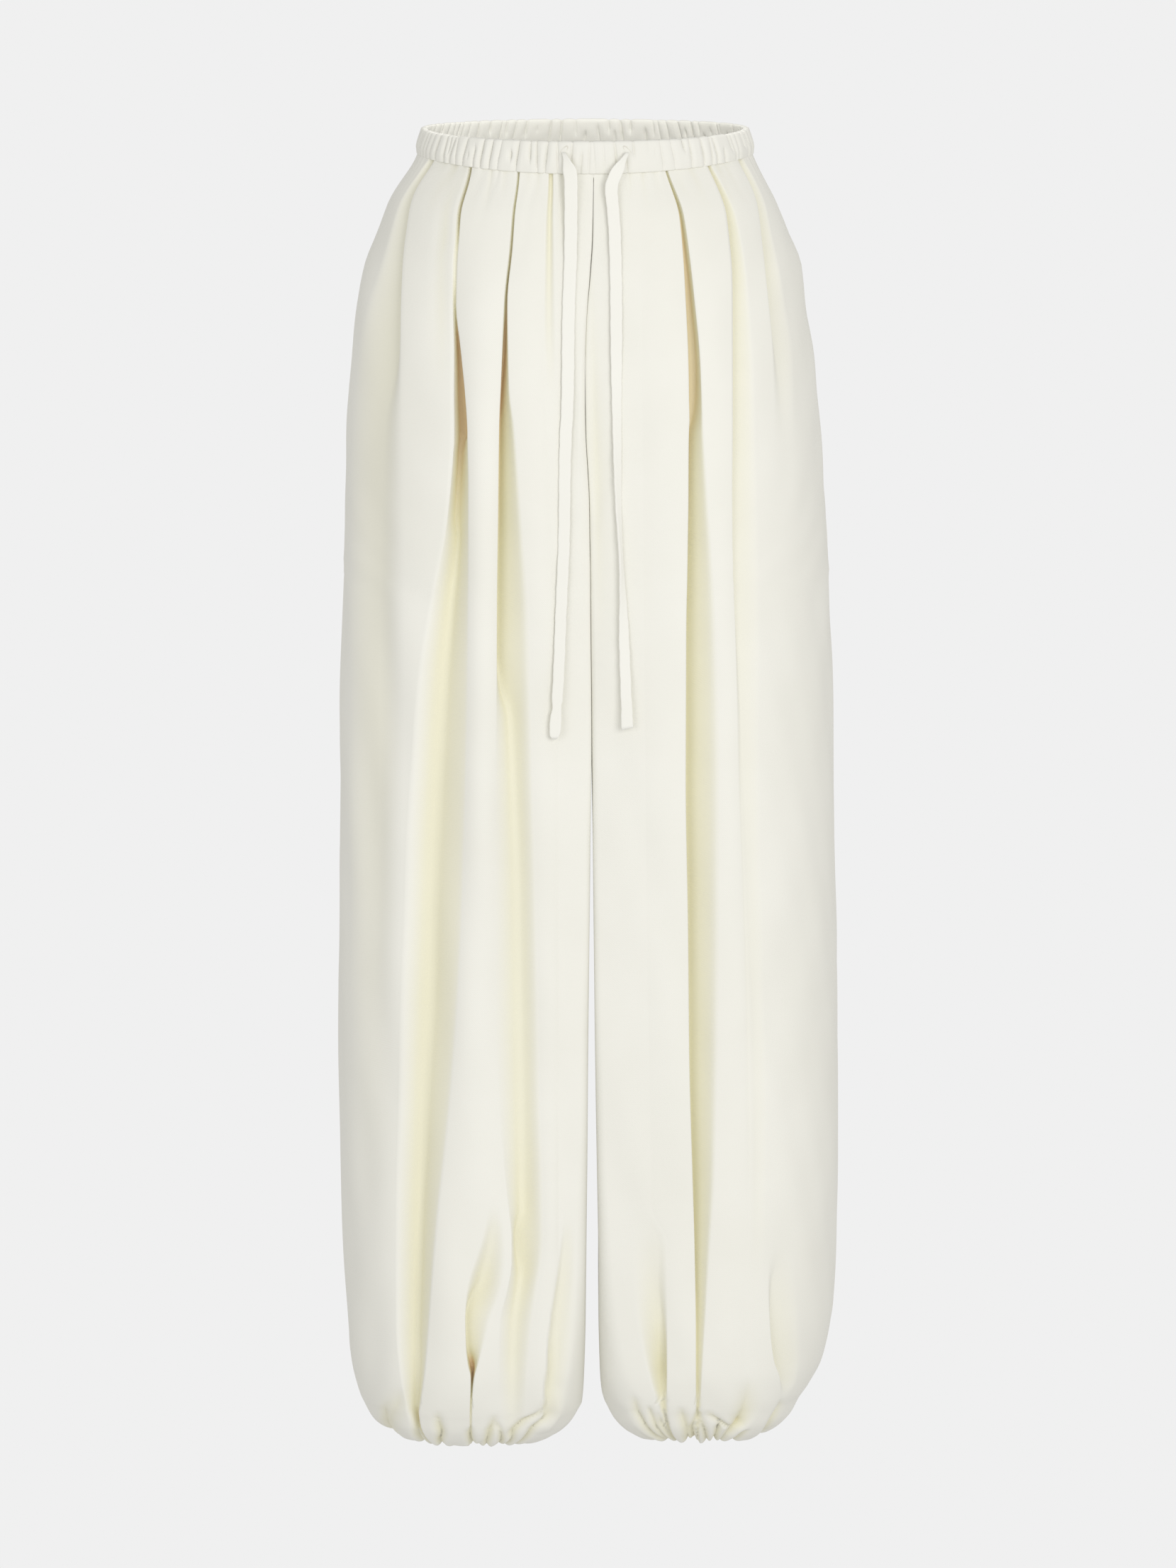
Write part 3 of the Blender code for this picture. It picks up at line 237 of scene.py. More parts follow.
FRONT_LEFT_FOLDS = tables(FoldRow, (
    # Hollow low beside the inseam
    [(-11, 30, 40, 0, 0.5, 0.5), (-820, 36, 50, 0, 0.5, 0.5), (-845, 34, 62.2, 1.2, 0.6, 0.3),
     (-880, 36, 62.4, 4, 0.62, 0.33), (-910, 38.5, 62.4, 7, 0.64, 0.31), (-935, 43, 62.4, 10, 0.64, 0.29),
     (-952, 47, 62.4, 11, 0.62, 0.29), (-966, 50.5, 62.4, 8, 0.6, 0.31), (-979, 54.5, 62.4, 5, 0.54, 0.36),
     (-992, 58, 62.6, 3, 0.44, 0.4)],
    # Deep pleat
    [(-9, 62.8, 65, 3), (-41, 69.6, 73.2, 5.5, 0.36, 0.36), (-68, 72.6, 77.6, 7, 0.3, 0.32),
     (-108, 75, 82.2, 9.5, 0.27, 0.26), (-148, 76.8, 86, 11.5, 0.25, 0.25),
     (-178, 77.3, 87.6, 13, 0.24, 0.27), (-215, 77.4, 89.4, 14.5, 0.22, 0.36),
     (-260, 77.2, 92.5, 15.5, 0.18, 0.62), (-312, 76.6, 96.5, 16.5, 0.16, 0.8),
     (-367, 75.7, 99.5, 17, 0.16, 0.86), (-476, 75.6, 102.5, 16.5, 0.15, 0.88),
     (-591, 77.6, 102.5, 16, 0.15, 0.88), (-703, 79, 101.5, 15.5, 0.15, 0.88),
     (-792, 81.6, 99.5, 14, 0.16, 0.86), (-849, 83.4, 96, 10.5, 0.18, 0.84),
     (-907, 84.4, 92.5, 6.5, 0.24, 0.76), (-952, 84.6, 90, 4, 0.26, 0.7), (-985, 84.8, 88.6, 3, 0.34, 0.6)],
    # Second pleat
    [(-4, 97.5, 100.5, 2.5, 0.35, 0.5), (-27, 103, 108, 4, 0.28, 0.6), (-62, 109, 118, 6, 0.2, 0.65),
     (-94, 111.2, 123, 6.5, 0.16, 0.7), (-148, 111.6, 127, 6.5, 0.14, 0.75),
     (-203, 111.2, 129, 6, 0.14, 0.75), (-257, 111, 130.5, 5, 0.16, 0.75),
     (-312, 111.6, 132, 4, 0.18, 0.75), (-367, 113.5, 133, 3, 0.22, 0.7), (-451, 115, 133, 2, 0.3, 0.6),
     (-591, 120.3, 136, 1.2, 0.4, 0.5), (-777, 126, 140, 0.8, 0.5, 0.5), (-900, 124, 138, 0, 0.5, 0.5)],
    # Pressed edge by the pocket
    [(-2, 120.5, 123.5, 2, 0.38, 0.5), (-27, 128, 133, 3, 0.32, 0.58), (-54, 133, 141, 3.8, 0.28, 0.64),
     (-108, 138.6, 152, 4.2, 0.24, 0.7), (-157, 142.5, 159, 2.6, 0.3, 0.65), (-230, 144, 160, 0, 0.5, 0.5),
     (-850, 141, 160, 0, 0.5, 0.5), (-880, 141, 163, 2, 0.26, 0.7), (-920, 142.8, 167, 4.5, 0.22, 0.76),
     (-945, 146, 168, 5.5, 0.2, 0.78), (-962, 151, 166, 3.5, 0.24, 0.7), (-978, 152, 160, 0, 0.4, 0.55)],
))
BACK_RIGHT_FOLDS = tables(FoldRow, (
    [(-5, 34, 36.5, 3), (-90, 37, 44, 6, 0.35, 0.5), (-205, 37, 52, 9, 0.25, 0.6),
     (-400, 38, 60, 12, 0.22, 0.6), (-650, 44, 68, 12, 0.24, 0.58), (-860, 50, 68, 10, 0.3, 0.5),
     (-990, 58, 64, 7)],
    [(-5, 72, 74.5, 3), (-90, 80, 88, 7, 0.45, 0.35), (-205, 80, 98, 11, 0.55, 0.25),
     (-400, 82, 106, 13, 0.58, 0.22), (-650, 92, 118, 12, 0.55, 0.26), (-860, 98, 120, 11, 0.5, 0.3),
     (-990, 104, 112, 8)],
    [(-5, 106, 109, 2, 0.4, 0.5), (-120, 124, 138, 4, 0.35, 0.6), (-300, 132, 154, 5, 0.4, 0.6),
     (-560, 138, 162, 5, 0.5, 0.5), (-850, 142, 162, 4, 0.5, 0.5), (-990, 140, 150, 5, 0.45, 0.45)],
))
BACK_LEFT_FOLDS = tables(FoldRow, (
    [(-5, 28, 30.5, 3), (-90, 31, 38, 5, 0.45, 0.4), (-205, 32, 47, 8, 0.55, 0.28),
     (-420, 36, 58, 11, 0.55, 0.25), (-640, 40, 66, 13, 0.55, 0.26), (-850, 42, 62, 11, 0.5, 0.32),
     (-990, 46, 54, 7)],
    [(-5, 62, 64.5, 3), (-90, 70, 78, 7, 0.32, 0.5), (-205, 72, 90, 12, 0.24, 0.58),
     (-420, 78, 104, 14, 0.2, 0.6), (-640, 80, 108, 14, 0.2, 0.6), (-850, 84, 104, 12, 0.26, 0.52),
     (-990, 92, 99, 8)],
    [(-5, 100, 103, 2, 0.4, 0.5), (-120, 118, 131, 5, 0.35, 0.6), (-300, 128, 148, 6, 0.35, 0.6),
     (-560, 136, 158, 4, 0.5, 0.5), (-850, 138, 158, 3, 0.5, 0.5), (-990, 130, 141, 5, 0.45, 0.45)],
))

# Creases that the solids don't have. at is the distance from the centre plane, width the half-width
# of the trough and depth how deep it is, 0 unless a row says otherwise. A negative depth is a ridge.
CreaseRow = namedtuple("CreaseRow", "v at width depth", defaults=(0.0,))
FRONT_RIGHT_CREASES = tables(CreaseRow, (
    # Soft fold between the outer pleat and the pocket
    [(-11, 109, 3, 1.6), (-60, 111.5, 4, 1.8), (-110, 113, 6, 1.4), (-180, 114, 9)],
    # Short gathers under the band
    [(-11, 20, 2.5, 1.4), (-40, 19.5, 4, 1), (-75, 19, 5)],
    [(-11, 39, 2.2, 0.9), (-34, 39.5, 3)],
    [(-11, 47, 2, 0.8), (-28, 47.5, 3)],
    [(-11, 66, 2.2, 1), (-32, 67, 3)],
    [(-11, 78, 2.4, 1.1), (-44, 80, 4)],
    [(-11, 101, 2.2, 1.1), (-36, 103, 3)],
    [(-11, 116, 2.2, 1.2), (-50, 122, 4)],
    # Ridge and hollow beside the centre seam
    [(-90, 5, 5), (-160, 6, 5, -1.2), (-230, 7, 6, -2.2), (-300, 8, 6, -1.6), (-370, 9, 8)],
    # Creases of the hem
    [(-981, 158, 4), (-997, 165, 5, 2.8), (-1015, 173, 5.5, 3.8), (-1034, 179, 5.5, 3.8),
     (-1045, 178, 4, 3.2)],
    [(-968, 147, 9), (-985, 152, 11, 2.2), (-1005, 163, 10, 2.6), (-1032, 172, 8)],
    [(-988, 138, 3), (-1002, 139.6, 4, 3.4), (-1020, 145, 5, 5.4), (-1045, 152, 5, 5)],
    [(-984, 118, 3), (-992, 118.5, 4.5, 2.8), (-1005, 118.5, 5.5, 5.4), (-1030, 127, 5, 5.4),
     (-1045, 130, 4, 4)],
    [(-998, 92, 3), (-1006, 93.5, 4.5, 3.6), (-1030, 91, 5, 5.4), (-1045, 88, 4, 4)],
    [(-987, 74, 3), (-996, 74.5, 4.5, 3), (-1006, 76, 5.5, 5.2), (-1025, 75, 5, 5), (-1045, 70, 4, 4)],
    [(-994, 72, 2.5), (-1003, 68, 3.2, 2.8), (-1018, 62.5, 4, 4.2), (-1033, 57, 4, 4.2), (-1045, 54, 4, 4)],
    [(-979, 34, 3), (-986, 38, 4, 2.6), (-996, 50, 5, 4.4), (-1008, 55, 5, 4.6), (-1022, 50, 4, 4),
     (-1045, 46, 4, 4)],
    [(-984, 30, 3), (-993, 34.5, 4, 2.6), (-1004, 40, 4.5, 4.4), (-1020, 38, 4.5, 4.4), (-1045, 34, 4, 4)],
    # Flap of cloth that stands out low beside the inseam
    [(-966, 24, 14), (-984, 24, 13, -4.6), (-998, 26, 12, -3.6), (-1010, 27, 10)],
))
FRONT_LEFT_CREASES = tables(CreaseRow, (
    [(-11, 19, 2.2, 1.2), (-46, 20, 3.5)],
    [(-11, 33, 2, 0.8), (-30, 33.5, 3)],
    [(-11, 44, 2.4, 1), (-42, 45, 4)],
    [(-11, 55, 2, 0.7), (-30, 56, 3)],
    [(-11, 74, 2.2, 0.9), (-36, 77, 3)],
    [(-11, 86, 2.2, 1.1), (-52, 92, 4)],
    [(-11, 108, 2.2, 1.3), (-60, 115, 4)],
    [(-11, 114, 2.2, 1), (-40, 120, 4)],
    # Pressed line down the outer part of the leg
    [(-430, 118, 2), (-480, 118.5, 2.2, 0.45), (-620, 123, 2.2, 0.45), (-760, 126, 2.2, 0.3),
     (-830, 127, 2.5)],
    # Hollow beside the centre seam
    [(-70, 2, 5), (-150, 4, 7, 1), (-230, 6, 9, 2), (-300, 7, 9, 1.2), (-380, 8, 8)],
    # Creases of the hem
    [(-972, 35, 3), (-982, 37, 4.5, 2.6), (-1005, 40, 5, 4.4), (-1030, 42, 5, 4.8), (-1045, 44, 4, 4)],
    [(-982, 47, 3), (-990, 49, 3.5, 2.8), (-1010, 49.5, 4.5, 4.2), (-1045, 51, 4, 4)],
    [(-988, 55, 3), (-996, 55.5, 4.5, 2), (-1004, 56, 5, 4.4), (-1025, 58, 4.5, 4.8), (-1045, 60, 4, 4)],
    [(-982, 73, 4), (-995, 74.5, 6, 3.6), (-1012, 76.5, 6, 4.8), (-1035, 74, 4, 4)],
    [(-985, 86, 2.5), (-995, 84.5, 3.5, 3), (-1010, 81.5, 4, 5), (-1035, 82, 4, 5), (-1045, 82, 4, 4)],
    [(-988, 87, 2.5), (-996, 88.5, 3.2, 3), (-1012, 92.5, 4, 4.6), (-1040, 97, 4, 4.6)],
    [(-986, 94, 3), (-993, 98, 4, 3), (-999, 105, 4.5, 4), (-1004, 111, 4, 4), (-1008, 116, 3)],
    [(-999, 104, 3), (-1007, 104, 4, 5.2), (-1022, 104, 4, 4.6), (-1045, 106, 4, 4)],
    [(-958, 127, 8), (-982, 124, 10, 3), (-996, 122, 9, 6), (-1004, 121, 7, 9), (-1011, 117, 6, 6.5),
     (-1022, 114, 5, 3.6), (-1040, 114, 4, 3.6)],
    [(-1009, 132, 3), (-1016, 130, 4.5, 3.6), (-1040, 128, 4.5, 4.4)],
    [(-982, 153, 3), (-993, 152, 4.5, 3.2), (-1004, 151.5, 5, 4.6), (-1037, 160, 5, 4.8),
     (-1045, 162, 4, 4)],
))

# A fold with a crisp edge that lies on the panel's cloth apart from the columns of the main ones
FRONT_RIGHT_LOW_FOLD = rows(FoldRow, (
    (-830, 10, 19, 0, 0.6, 0.25), (-870, 8, 24, 3, 0.6, 0.22), (-915, 9, 30.5, 5.5, 0.6, 0.18),
    (-952, 13, 33.2, 7, 0.6, 0.16), (-980, 19, 35.5, 5, 0.6, 0.18), (-1000, 26, 38, 0, 0.6, 0.3),
))

# Where the cloth swells out between two folds: their numbers, and how far
Swell = namedtuple("Swell", "after before height")

# One entry for each leg panel. pressed are the folds with an edge that is pressed where it isn't crisp,
# run_columns the columns in each stretch between folds, swells where the cloth stands out, creases and
# low_folds the finer forms, gathers the number of small gathers of its hem.
Panel = namedtuple("Panel", "leg face folds pressed run_columns swells creases low_folds gathers seed")
PANELS = {
    "front_right": Panel("right", "front", FRONT_RIGHT_FOLDS, {1: "far", 3: "near"}, (30, 14, 7, 12, 8, 42),
                         [Swell(0, 1, 1.5), Swell(1, 3, 4.0)],
                         FRONT_RIGHT_CREASES, [FRONT_RIGHT_LOW_FOLD], 15, 11),
    "front_left": Panel("left", "front", FRONT_LEFT_FOLDS, {}, (38, 14, 9, 9, 44),
                        [Swell(0, 1, 1.0), Swell(1, 2, 0.8)], FRONT_LEFT_CREASES, [], 15, 12),
    "back_right": Panel("right", "back", BACK_RIGHT_FOLDS, {}, (32, 16, 14, 34),
                        [Swell(0, 1, 3.0), Swell(1, 2, 2.5)], [], [], 24, 13),
    "back_left": Panel("left", "back", BACK_LEFT_FOLDS, {}, (32, 16, 14, 34),
                       [Swell(0, 1, 2.5), Swell(1, 2, 3.0)], [], [], 24, 14),
}
WALL_COLUMNS = 11
FLOOR_COLUMNS = 2
FOLD_FLOOR = 0.04
# A crisp edge hangs over its fold by this much
UNDERCUT = 1.0
# Walls narrower than this share begin to be crisp, over the next share, where the fold is this deep
CRISP_BELOW = 0.34
CRISP_OVER = 0.14
CRISP_DEPTH = 8
CRISP_NARROWS = 0.62
# Share of a long slope that it takes to turn out of the cloth beside it
RAMP_START = 0.20
# How fast a fold's painted shade grows from its near and its far edge, by which of them is pressed
SHADE_SPREADS = {None: (0.8, 0.6), "near": (0.45, 1.5), "far": (0.55, 1.2)}
# Depths at which a fold of this width, a crease and a gather have the full painted shade
FOLD_SHADE_DEPTH = 9
FOLD_SHADE_WIDTH = 12
CREASE_SHADE_DEPTH = 7
GATHER_SHADE_DEPTH = 8
WAIST_PINCHES = 34

# Routes of the two free ends of the drawstring, the same as the solids have
TieRow = namedtuple("TieRow", "z x y")
TIES = {
    "right": rows(TieRow, (
        (5, -18.6, -99.1), (-8.7, -13.94, -101.09), (-22.3, -13.01, -103.07), (-49.7, -13.14, -107.05),
        (-77, -13.47, -111.02), (-104.3, -14.52, -114.91), (-131.7, -15.12, -117.92),
        (-159, -15.32, -120.28), (-186.3, -15.78, -122.24), (-213.7, -17.13, -123.67),
        (-241, -17.85, -124.76), (-268.3, -18.09, -125.22), (-295.7, -18.57, -125.22),
        (-323, -19.73, -125.22), (-350.3, -20.9, -125.22), (-377.7, -21.92, -125.22),
        (-405, -23.1, -125.22), (-432.3, -24.94, -125.22), (-446, -26, -125.22))),
    "left": rows(TieRow, (
        (5, 30.2, -99.1), (-8.4, 22.66, -101.11), (-21.8, 18, -103.13), (-48.7, 20.08, -107.16),
        (-75.5, 21.14, -111.18), (-102.4, 21.58, -115.21), (-129.2, 21.74, -118.64),
        (-156.1, 21.86, -121.23), (-182.9, 22.06, -123.19), (-209.8, 22.37, -124.53),
        (-236.6, 22.79, -125.45), (-263.5, 23.38, -125.9), (-290.3, 24.57, -125.9),
        (-317.2, 25.91, -125.9), (-344, 27.14, -125.9), (-370.9, 27.89, -125.9), (-397.7, 28.85, -125.9),
        (-424.6, 29.96, -125.9), (-438, 30.4, -125.9))),
}

# How each tie is turned and crumpled on its way down. width and thickness are in millimetres, turn is
# in degrees about the tie's own line and forward lifts it off the cloth.
TieLook = namedtuple("TieLook", "z width thickness turn forward")
TIE_LOOKS = {
    "right": rows(TieLook, (
        (5, 3, 2.2, -35, -2), (0, 5.4, 2, -25, -0.6), (-9, 11, 1.7, -8, 0), (-16, 10.4, 1.7, -4, 0),
        (-34, 10.2, 1.7, 0, 0), (-150, 9.8, 1.6, 4, 0), (-300, 9, 1.6, -3, 0), (-415, 8.6, 1.6, 0, 0),
        (-421, 6.8, 1.3, 0, 0), (-427, 8.4, 1.8, 0, 0), (-434, 9.2, 2, 0, 0), (-441, 8.6, 2, 0, 0),
        (-445, 6, 1.6, 0, 0), (-446, 3.6, 1, 0, 0))),
    "left": rows(TieLook, (
        (5, 2.8, 2.2, 40, -2), (0, 5.4, 2, 30, -0.6), (-9, 10.8, 1.8, 14, 0), (-18, 10.4, 1.7, 8, 0),
        (-38, 9.6, 1.7, 4, 0), (-120, 9.4, 1.6, 0, 0), (-190, 8, 1.8, 20, 0.3), (-260, 6.8, 2, 45, 1.2),
        (-305, 4.9, 2.4, 62, 1.6), (-330, 6.2, 2.2, 45, 1), (-370, 8.2, 1.8, 12, 0.2),
        (-420, 8.6, 1.6, 0, 0), (-433, 9.2, 1.8, -4, 0), (-438, 9.2, 1.6, -6, 0))),
}

# Colours: base, low and high of the clouds in it. Then the size of the weave and the depth of its bump.
CLOTH_LOOK = ((0.86, 0.85, 0.785), (0.845, 0.835, 0.765), (0.875, 0.866, 0.802), 0.9, 0.10)
CASING_LOOK = ((0.84, 0.83, 0.77), (0.825, 0.815, 0.75), (0.855, 0.846, 0.787), 0.9, 0.12)
DRAWSTRING_LOOK = ((0.88, 0.87, 0.81), (0.87, 0.86, 0.797), (0.89, 0.882, 0.825), 0.7, 0.10)
THREAD_COLOR = (0.80, 0.78, 0.70)
# Painted shade: the cloth's colour is darkened and warmed by how shaded a fold is, for the light that
# bounces between its walls, so the deeper the warmer
SHADE_TINTS = [(0.0, (1.0, 1.0, 1.0)), (0.22, (0.98, 0.966, 0.86)), (0.5, (0.945, 0.92, 0.75)),
               (0.75, (0.93, 0.85, 0.64)), (1.0, (0.90, 0.72, 0.50))]
# A wave texture of this scale has one wave to a metre
ONE_WAVE = 0.31
GRAIN = 1.3 * MM
TWIST = 0.35 * MM

# Studio: a pale seamless floor and background, a large soft key from the viewer's right and a weak fill
BACKDROP = (0.871, 0.871, 0.871, 1.0)
AMBIENT = 0.64
FLOOR_RADIUS = 8
FLOOR_SIDES = 96
FLOOR_Z = -1.06
LIGHTS = [
    # name, place, aim, size, power, tint
    ("key", (1.30, -3.3, 0.3), (0, 0, -0.55), (1.6, 1.6), 41.0, (1.0, 0.993, 0.98)),
    ("fill", (-1.7, -3.5, 0.0), (0, 0, -0.6), (1.8, 1.8), 18.0, (0.985, 0.992, 1.0)),
    ("waist", (-0.002, -0.05, 0.07), (-0.002, 0.10, 0.0), (0.22, 0.03), 0.10, (1.0, 0.995, 0.985)),
]


def smooth_values(xs, ys, x):
    """Values at x of a cubic through the points that never overshoots. xs rises or falls throughout."""
    xs, ys, x = np.asarray(xs, float), np.asarray(ys, float), np.asarray(x, float)
    if xs[0] > xs[-1]:
        xs, x = -xs, -x
    x = np.clip(x, xs[0], xs[-1])
    slopes = np.diff(ys) / np.diff(xs)
    product = slopes[:-1] * slopes[1:]
    total = slopes[:-1] + slopes[1:]
    middle = np.where(product > 0, 2 * product / np.where(product > 0, total, 1.0), 0.0)
    tangents = np.concatenate([slopes[:1], middle, slopes[-1:]])
    i = np.clip(np.searchsorted(xs, x, side="right") - 1, 0, len(xs) - 2)
    span = xs[i + 1] - xs[i]
    t = (x - xs[i]) / span
    return (ys[i] * (1 + 2 * t) * (1 - t) ** 2 + ys[i + 1] * t * t * (3 - 2 * t)
            + span * tangents[i] * t * (1 - t) ** 2 - span * tangents[i + 1] * t * t * (1 - t))


def column(table, name, z):
    """One named column of a table at z, which is the rows' first column."""
    return smooth_values([row[0] for row in table], [getattr(row, name) for row in table], z)


def smoothstep(t):
    t = np.clip(t, 0.0, 1.0)
    return t * t * (3 - 2 * t)


def below(v, start, length):
    """0 above start, 1 from length below it, smooth between."""
    return smoothstep((start - v) / length)


def bell(x, width):
    return np.exp(-(x / width) ** 2)


def peak(away, reach, power):
    """1 at no distance, 0 from reach on."""
    return np.clip(1 - away / reach, 0, 1) ** power


def unit(vectors):
    return vectors / np.maximum(np.linalg.norm(vectors, axis=-1, keepdims=True), 1e-12)


# Camera
def add_camera():
    data = bpy.data.cameras.new("Camera")
    data.sensor_width = SENSOR
    data.lens = SENSOR * CAMERA_DISTANCE / (PHOTO_HEIGHT_PX * METRES_PER_PX)
    camera = bpy.data.objects.new("Camera", data)
    bpy.context.scene.collection.objects.link(camera)
    back = Vector((0.0, -math.cos(CAMERA_PITCH), math.sin(CAMERA_PITCH)))
    camera.location = LOOK_AT + back * CAMERA_DISTANCE
    camera.rotation_euler = (-back).to_track_quat("-Z", "Y").to_euler()
    bpy.context.scene.camera = camera


# Materials
def node(tree, kind, inputs=None, **properties):
    """A new shader node. An input is a value, or the output of another node that is joined to it."""
    item = tree.nodes.new("ShaderNode" + kind)
    for key, value in properties.items():
        setattr(item, key, value)
    for key, value in (inputs or {}).items():
        if isinstance(value, bpy.types.NodeSocket):
            tree.links.new(value, item.inputs[key])
        else:
            item.inputs[key].default_value = value
    return item


def new_material(name, base, roughness, sheen):
    material = bpy.data.materials.new(name)
    material.use_nodes = True
    tree = material.node_tree
    shader = tree.nodes["Principled BSDF"]
    for key, value in (("Base Color", (*base, 1.0)), ("Roughness", roughness), ("Specular IOR Level", 0.28),
                       ("Sheen Weight", sheen), ("Sheen Roughness", 0.45),
                       ("Sheen Tint", (1.0, 0.98, 0.94, 1.0))):
        shader.inputs[key].default_value = value
    return material, tree, shader


def color_ramp(tree, share, stops):
    ramp = node(tree, "ValToRGB", {"Fac": share})
    elements = ramp.color_ramp.elements
    while len(elements) < len(stops):
        elements.new(0.5)
    for element, (position, color) in zip(elements, stops):
        element.position = position
        element.color = (*color, 1.0)
    return ramp.outputs["Color"]


def cloth_material(name, base, low, high, weave_mm, bump_mm):
    """Cloth with a crepe grain, a fine weave, slight cloudiness of its colour and painted shade: a darker,
    warmer colour in shaded folds.
    """
    material, tree, shader = new_material(name, base, 0.6, 0.12)
    place = node(tree, "TexCoord").outputs["Object"]
    clouds = node(tree, "TexNoise", {"Vector": place, "Scale": 9.0, "Detail": 4.0, "Roughness": 0.55})
    plain = color_ramp(tree, clouds.outputs["Fac"], [(0.30, low), (0.70, high)])
    # Painted shade: the fold_shade attribute darkens and warms the base colour in the folds
    shade = node(tree, "Attribute", attribute_name="fold_shade")
    share = node(tree, "Math", {0: shade.outputs["Fac"], 1: 0.5}, operation="MULTIPLY", use_clamp=True)
    tint = color_ramp(tree, share.outputs[0], SHADE_TINTS)
    painted_shade_color = node(tree, "Mix", {"Factor": 1.0, "A": plain, "B": tint},
                  data_type="RGBA", blend_type="MULTIPLY")
    tree.links.new(painted_shade_color.outputs["Result"], shader.inputs["Base Color"])
    wave = {"Vector": place, "Scale": ONE_WAVE / (weave_mm * MM), "Detail": 1.0}
    across = node(tree, "TexWave", {**wave, "Distortion": 1.2, "Detail Scale": 2.0},
                  bands_direction="DIAGONAL")
    along = node(tree, "TexWave", {**wave, "Distortion": 1.0}, bands_direction="Z")
    grain = node(tree, "TexNoise", {"Vector": place, "Scale": 1.0 / GRAIN, "Detail": 3.0, "Roughness": 0.6})
    weave = node(tree, "Math", {0: across.outputs["Fac"], 1: along.outputs["Fac"]}, operation="ADD")
    height = node(tree, "Math", {0: weave.outputs[0], 1: 0.35, 2: grain.outputs["Fac"]},
                  operation="MULTIPLY_ADD")
    bump = node(tree, "Bump", {"Strength": 0.55, "Distance": bump_mm * MM, "Height": height.outputs[0]})
    tree.links.new(bump.outputs["Normal"], shader.inputs["Normal"])
    return material


def thread_material():
    """Sewing thread, twisted."""
    material, tree, shader = new_material("thread_ivory", THREAD_COLOR, 0.5, 0.2)
    place = node(tree, "TexCoord").outputs["Object"]
    twist = node(tree, "TexWave", {"Vector": place, "Scale": ONE_WAVE / TWIST}, bands_direction="DIAGONAL")
    bump = node(tree, "Bump", {"Strength": 0.5, "Distance": 0.08 * MM, "Height": twist.outputs["Fac"]})
    tree.links.new(bump.outputs["Normal"], shader.inputs["Normal"])
    return material


CLOTH = cloth_material("cloth_ivory", *CLOTH_LOOK)
CASING = cloth_material("casing_ivory", *CASING_LOOK)
TIE = cloth_material("tie_ivory", *DRAWSTRING_LOOK)
THREAD = thread_material()


# Making objects
def add_object(name, points, faces, material):
    """An object from points in metres, with its faces turned outwards and shaded smooth."""
    mesh = bpy.data.meshes.new(name)
    mesh.from_pydata([tuple(p) for p in points], [], faces)
    work = bmesh.new()
    work.from_mesh(mesh)
    bmesh.ops.recalc_face_normals(work, faces=work.faces)
    work.to_mesh(mesh)
    work.free()
    mesh.shade_smooth()
    mesh.materials.append(material)
    item = bpy.data.objects.new(name, mesh)
    bpy.context.scene.collection.objects.link(item)
    return item


def grid_faces(count, width, close_rows=False, close_columns=False):
    """Four-cornered faces of a grid of points, joined round where it closes."""
    r = np.arange(count if close_rows else count - 1)
    k = np.arange(width if close_columns else width - 1)
    r, k = np.meshgrid(r, k, indexing="ij")
    ahead, beside = (r + 1) % count * width, (k + 1) % width
    faces = np.stack([r * width + k, r * width + beside, ahead + beside, ahead + k], axis=-1)
    return faces.reshape(-1, 4).tolist()


def add_shell(name, outer, inner, material, shade=None):
    """A cloth wall between two grids, closed round its rim. shade is kept as an attribute for the
    material's painted shade.
    """
    count, width = outer.shape[:2]
    behind = count * width
    faces = grid_faces(count, width)
    faces += [[behind + i for i in reversed(face)] for face in faces]
    rim = list(range(width))
    rim += [r * width + width - 1 for r in range(1, count)]
    rim += [(count - 1) * width + k for k in range(width - 2, -1, -1)]
    rim += [r * width for r in range(count - 2, 0, -1)]
    faces += [[b, a, behind + a, behind + b] for a, b in zip(rim, rim[1:] + rim[:1])]
    points = np.concatenate([outer.reshape(-1, 3), inner.reshape(-1, 3)])
    item = add_object(name, points, faces, material)
    if shade is not None:
        kept = item.data.attributes.new("fold_shade", "FLOAT", "POINT")
        kept.data.foreach_set("value", np.concatenate([shade.ravel(), 0 * shade.ravel()]))
    return item


def add_swept(name, rings, material, closed=False):
    """A solid through rings of points: capped at both ends, or joined end to end when closed."""
    rings = np.asarray(rings)
    count, sides = rings.shape[:2]
    faces = grid_faces(count, sides, close_rows=closed, close_columns=True)
    if not closed:
        faces.append(list(range(sides)))
        faces.append(list(range(count * sides - 1, (count - 1) * sides - 1, -1)))
    return add_object(name, rings.reshape(-1, 3), faces, material)


def dress(piece, slot, *nodes):
    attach(piece, "root")
    if nodes:
        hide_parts(*nodes)
    return piece


# Ties
def flat_profile(sides, width, thickness):
    """Cross-section of a flat tie: rolled edges and a slightly hollow middle."""
    angle = 2 * np.pi * np.arange(sides) / sides
    c, s = np.cos(angle), np.sin(angle)
    across = np.sign(c) * np.abs(c) ** 0.75 * width / 2
    out = np.sign(s) * np.abs(s) ** 0.45 * thickness / 2 * (0.80 + 0.25 * np.abs(c))
    return across, out


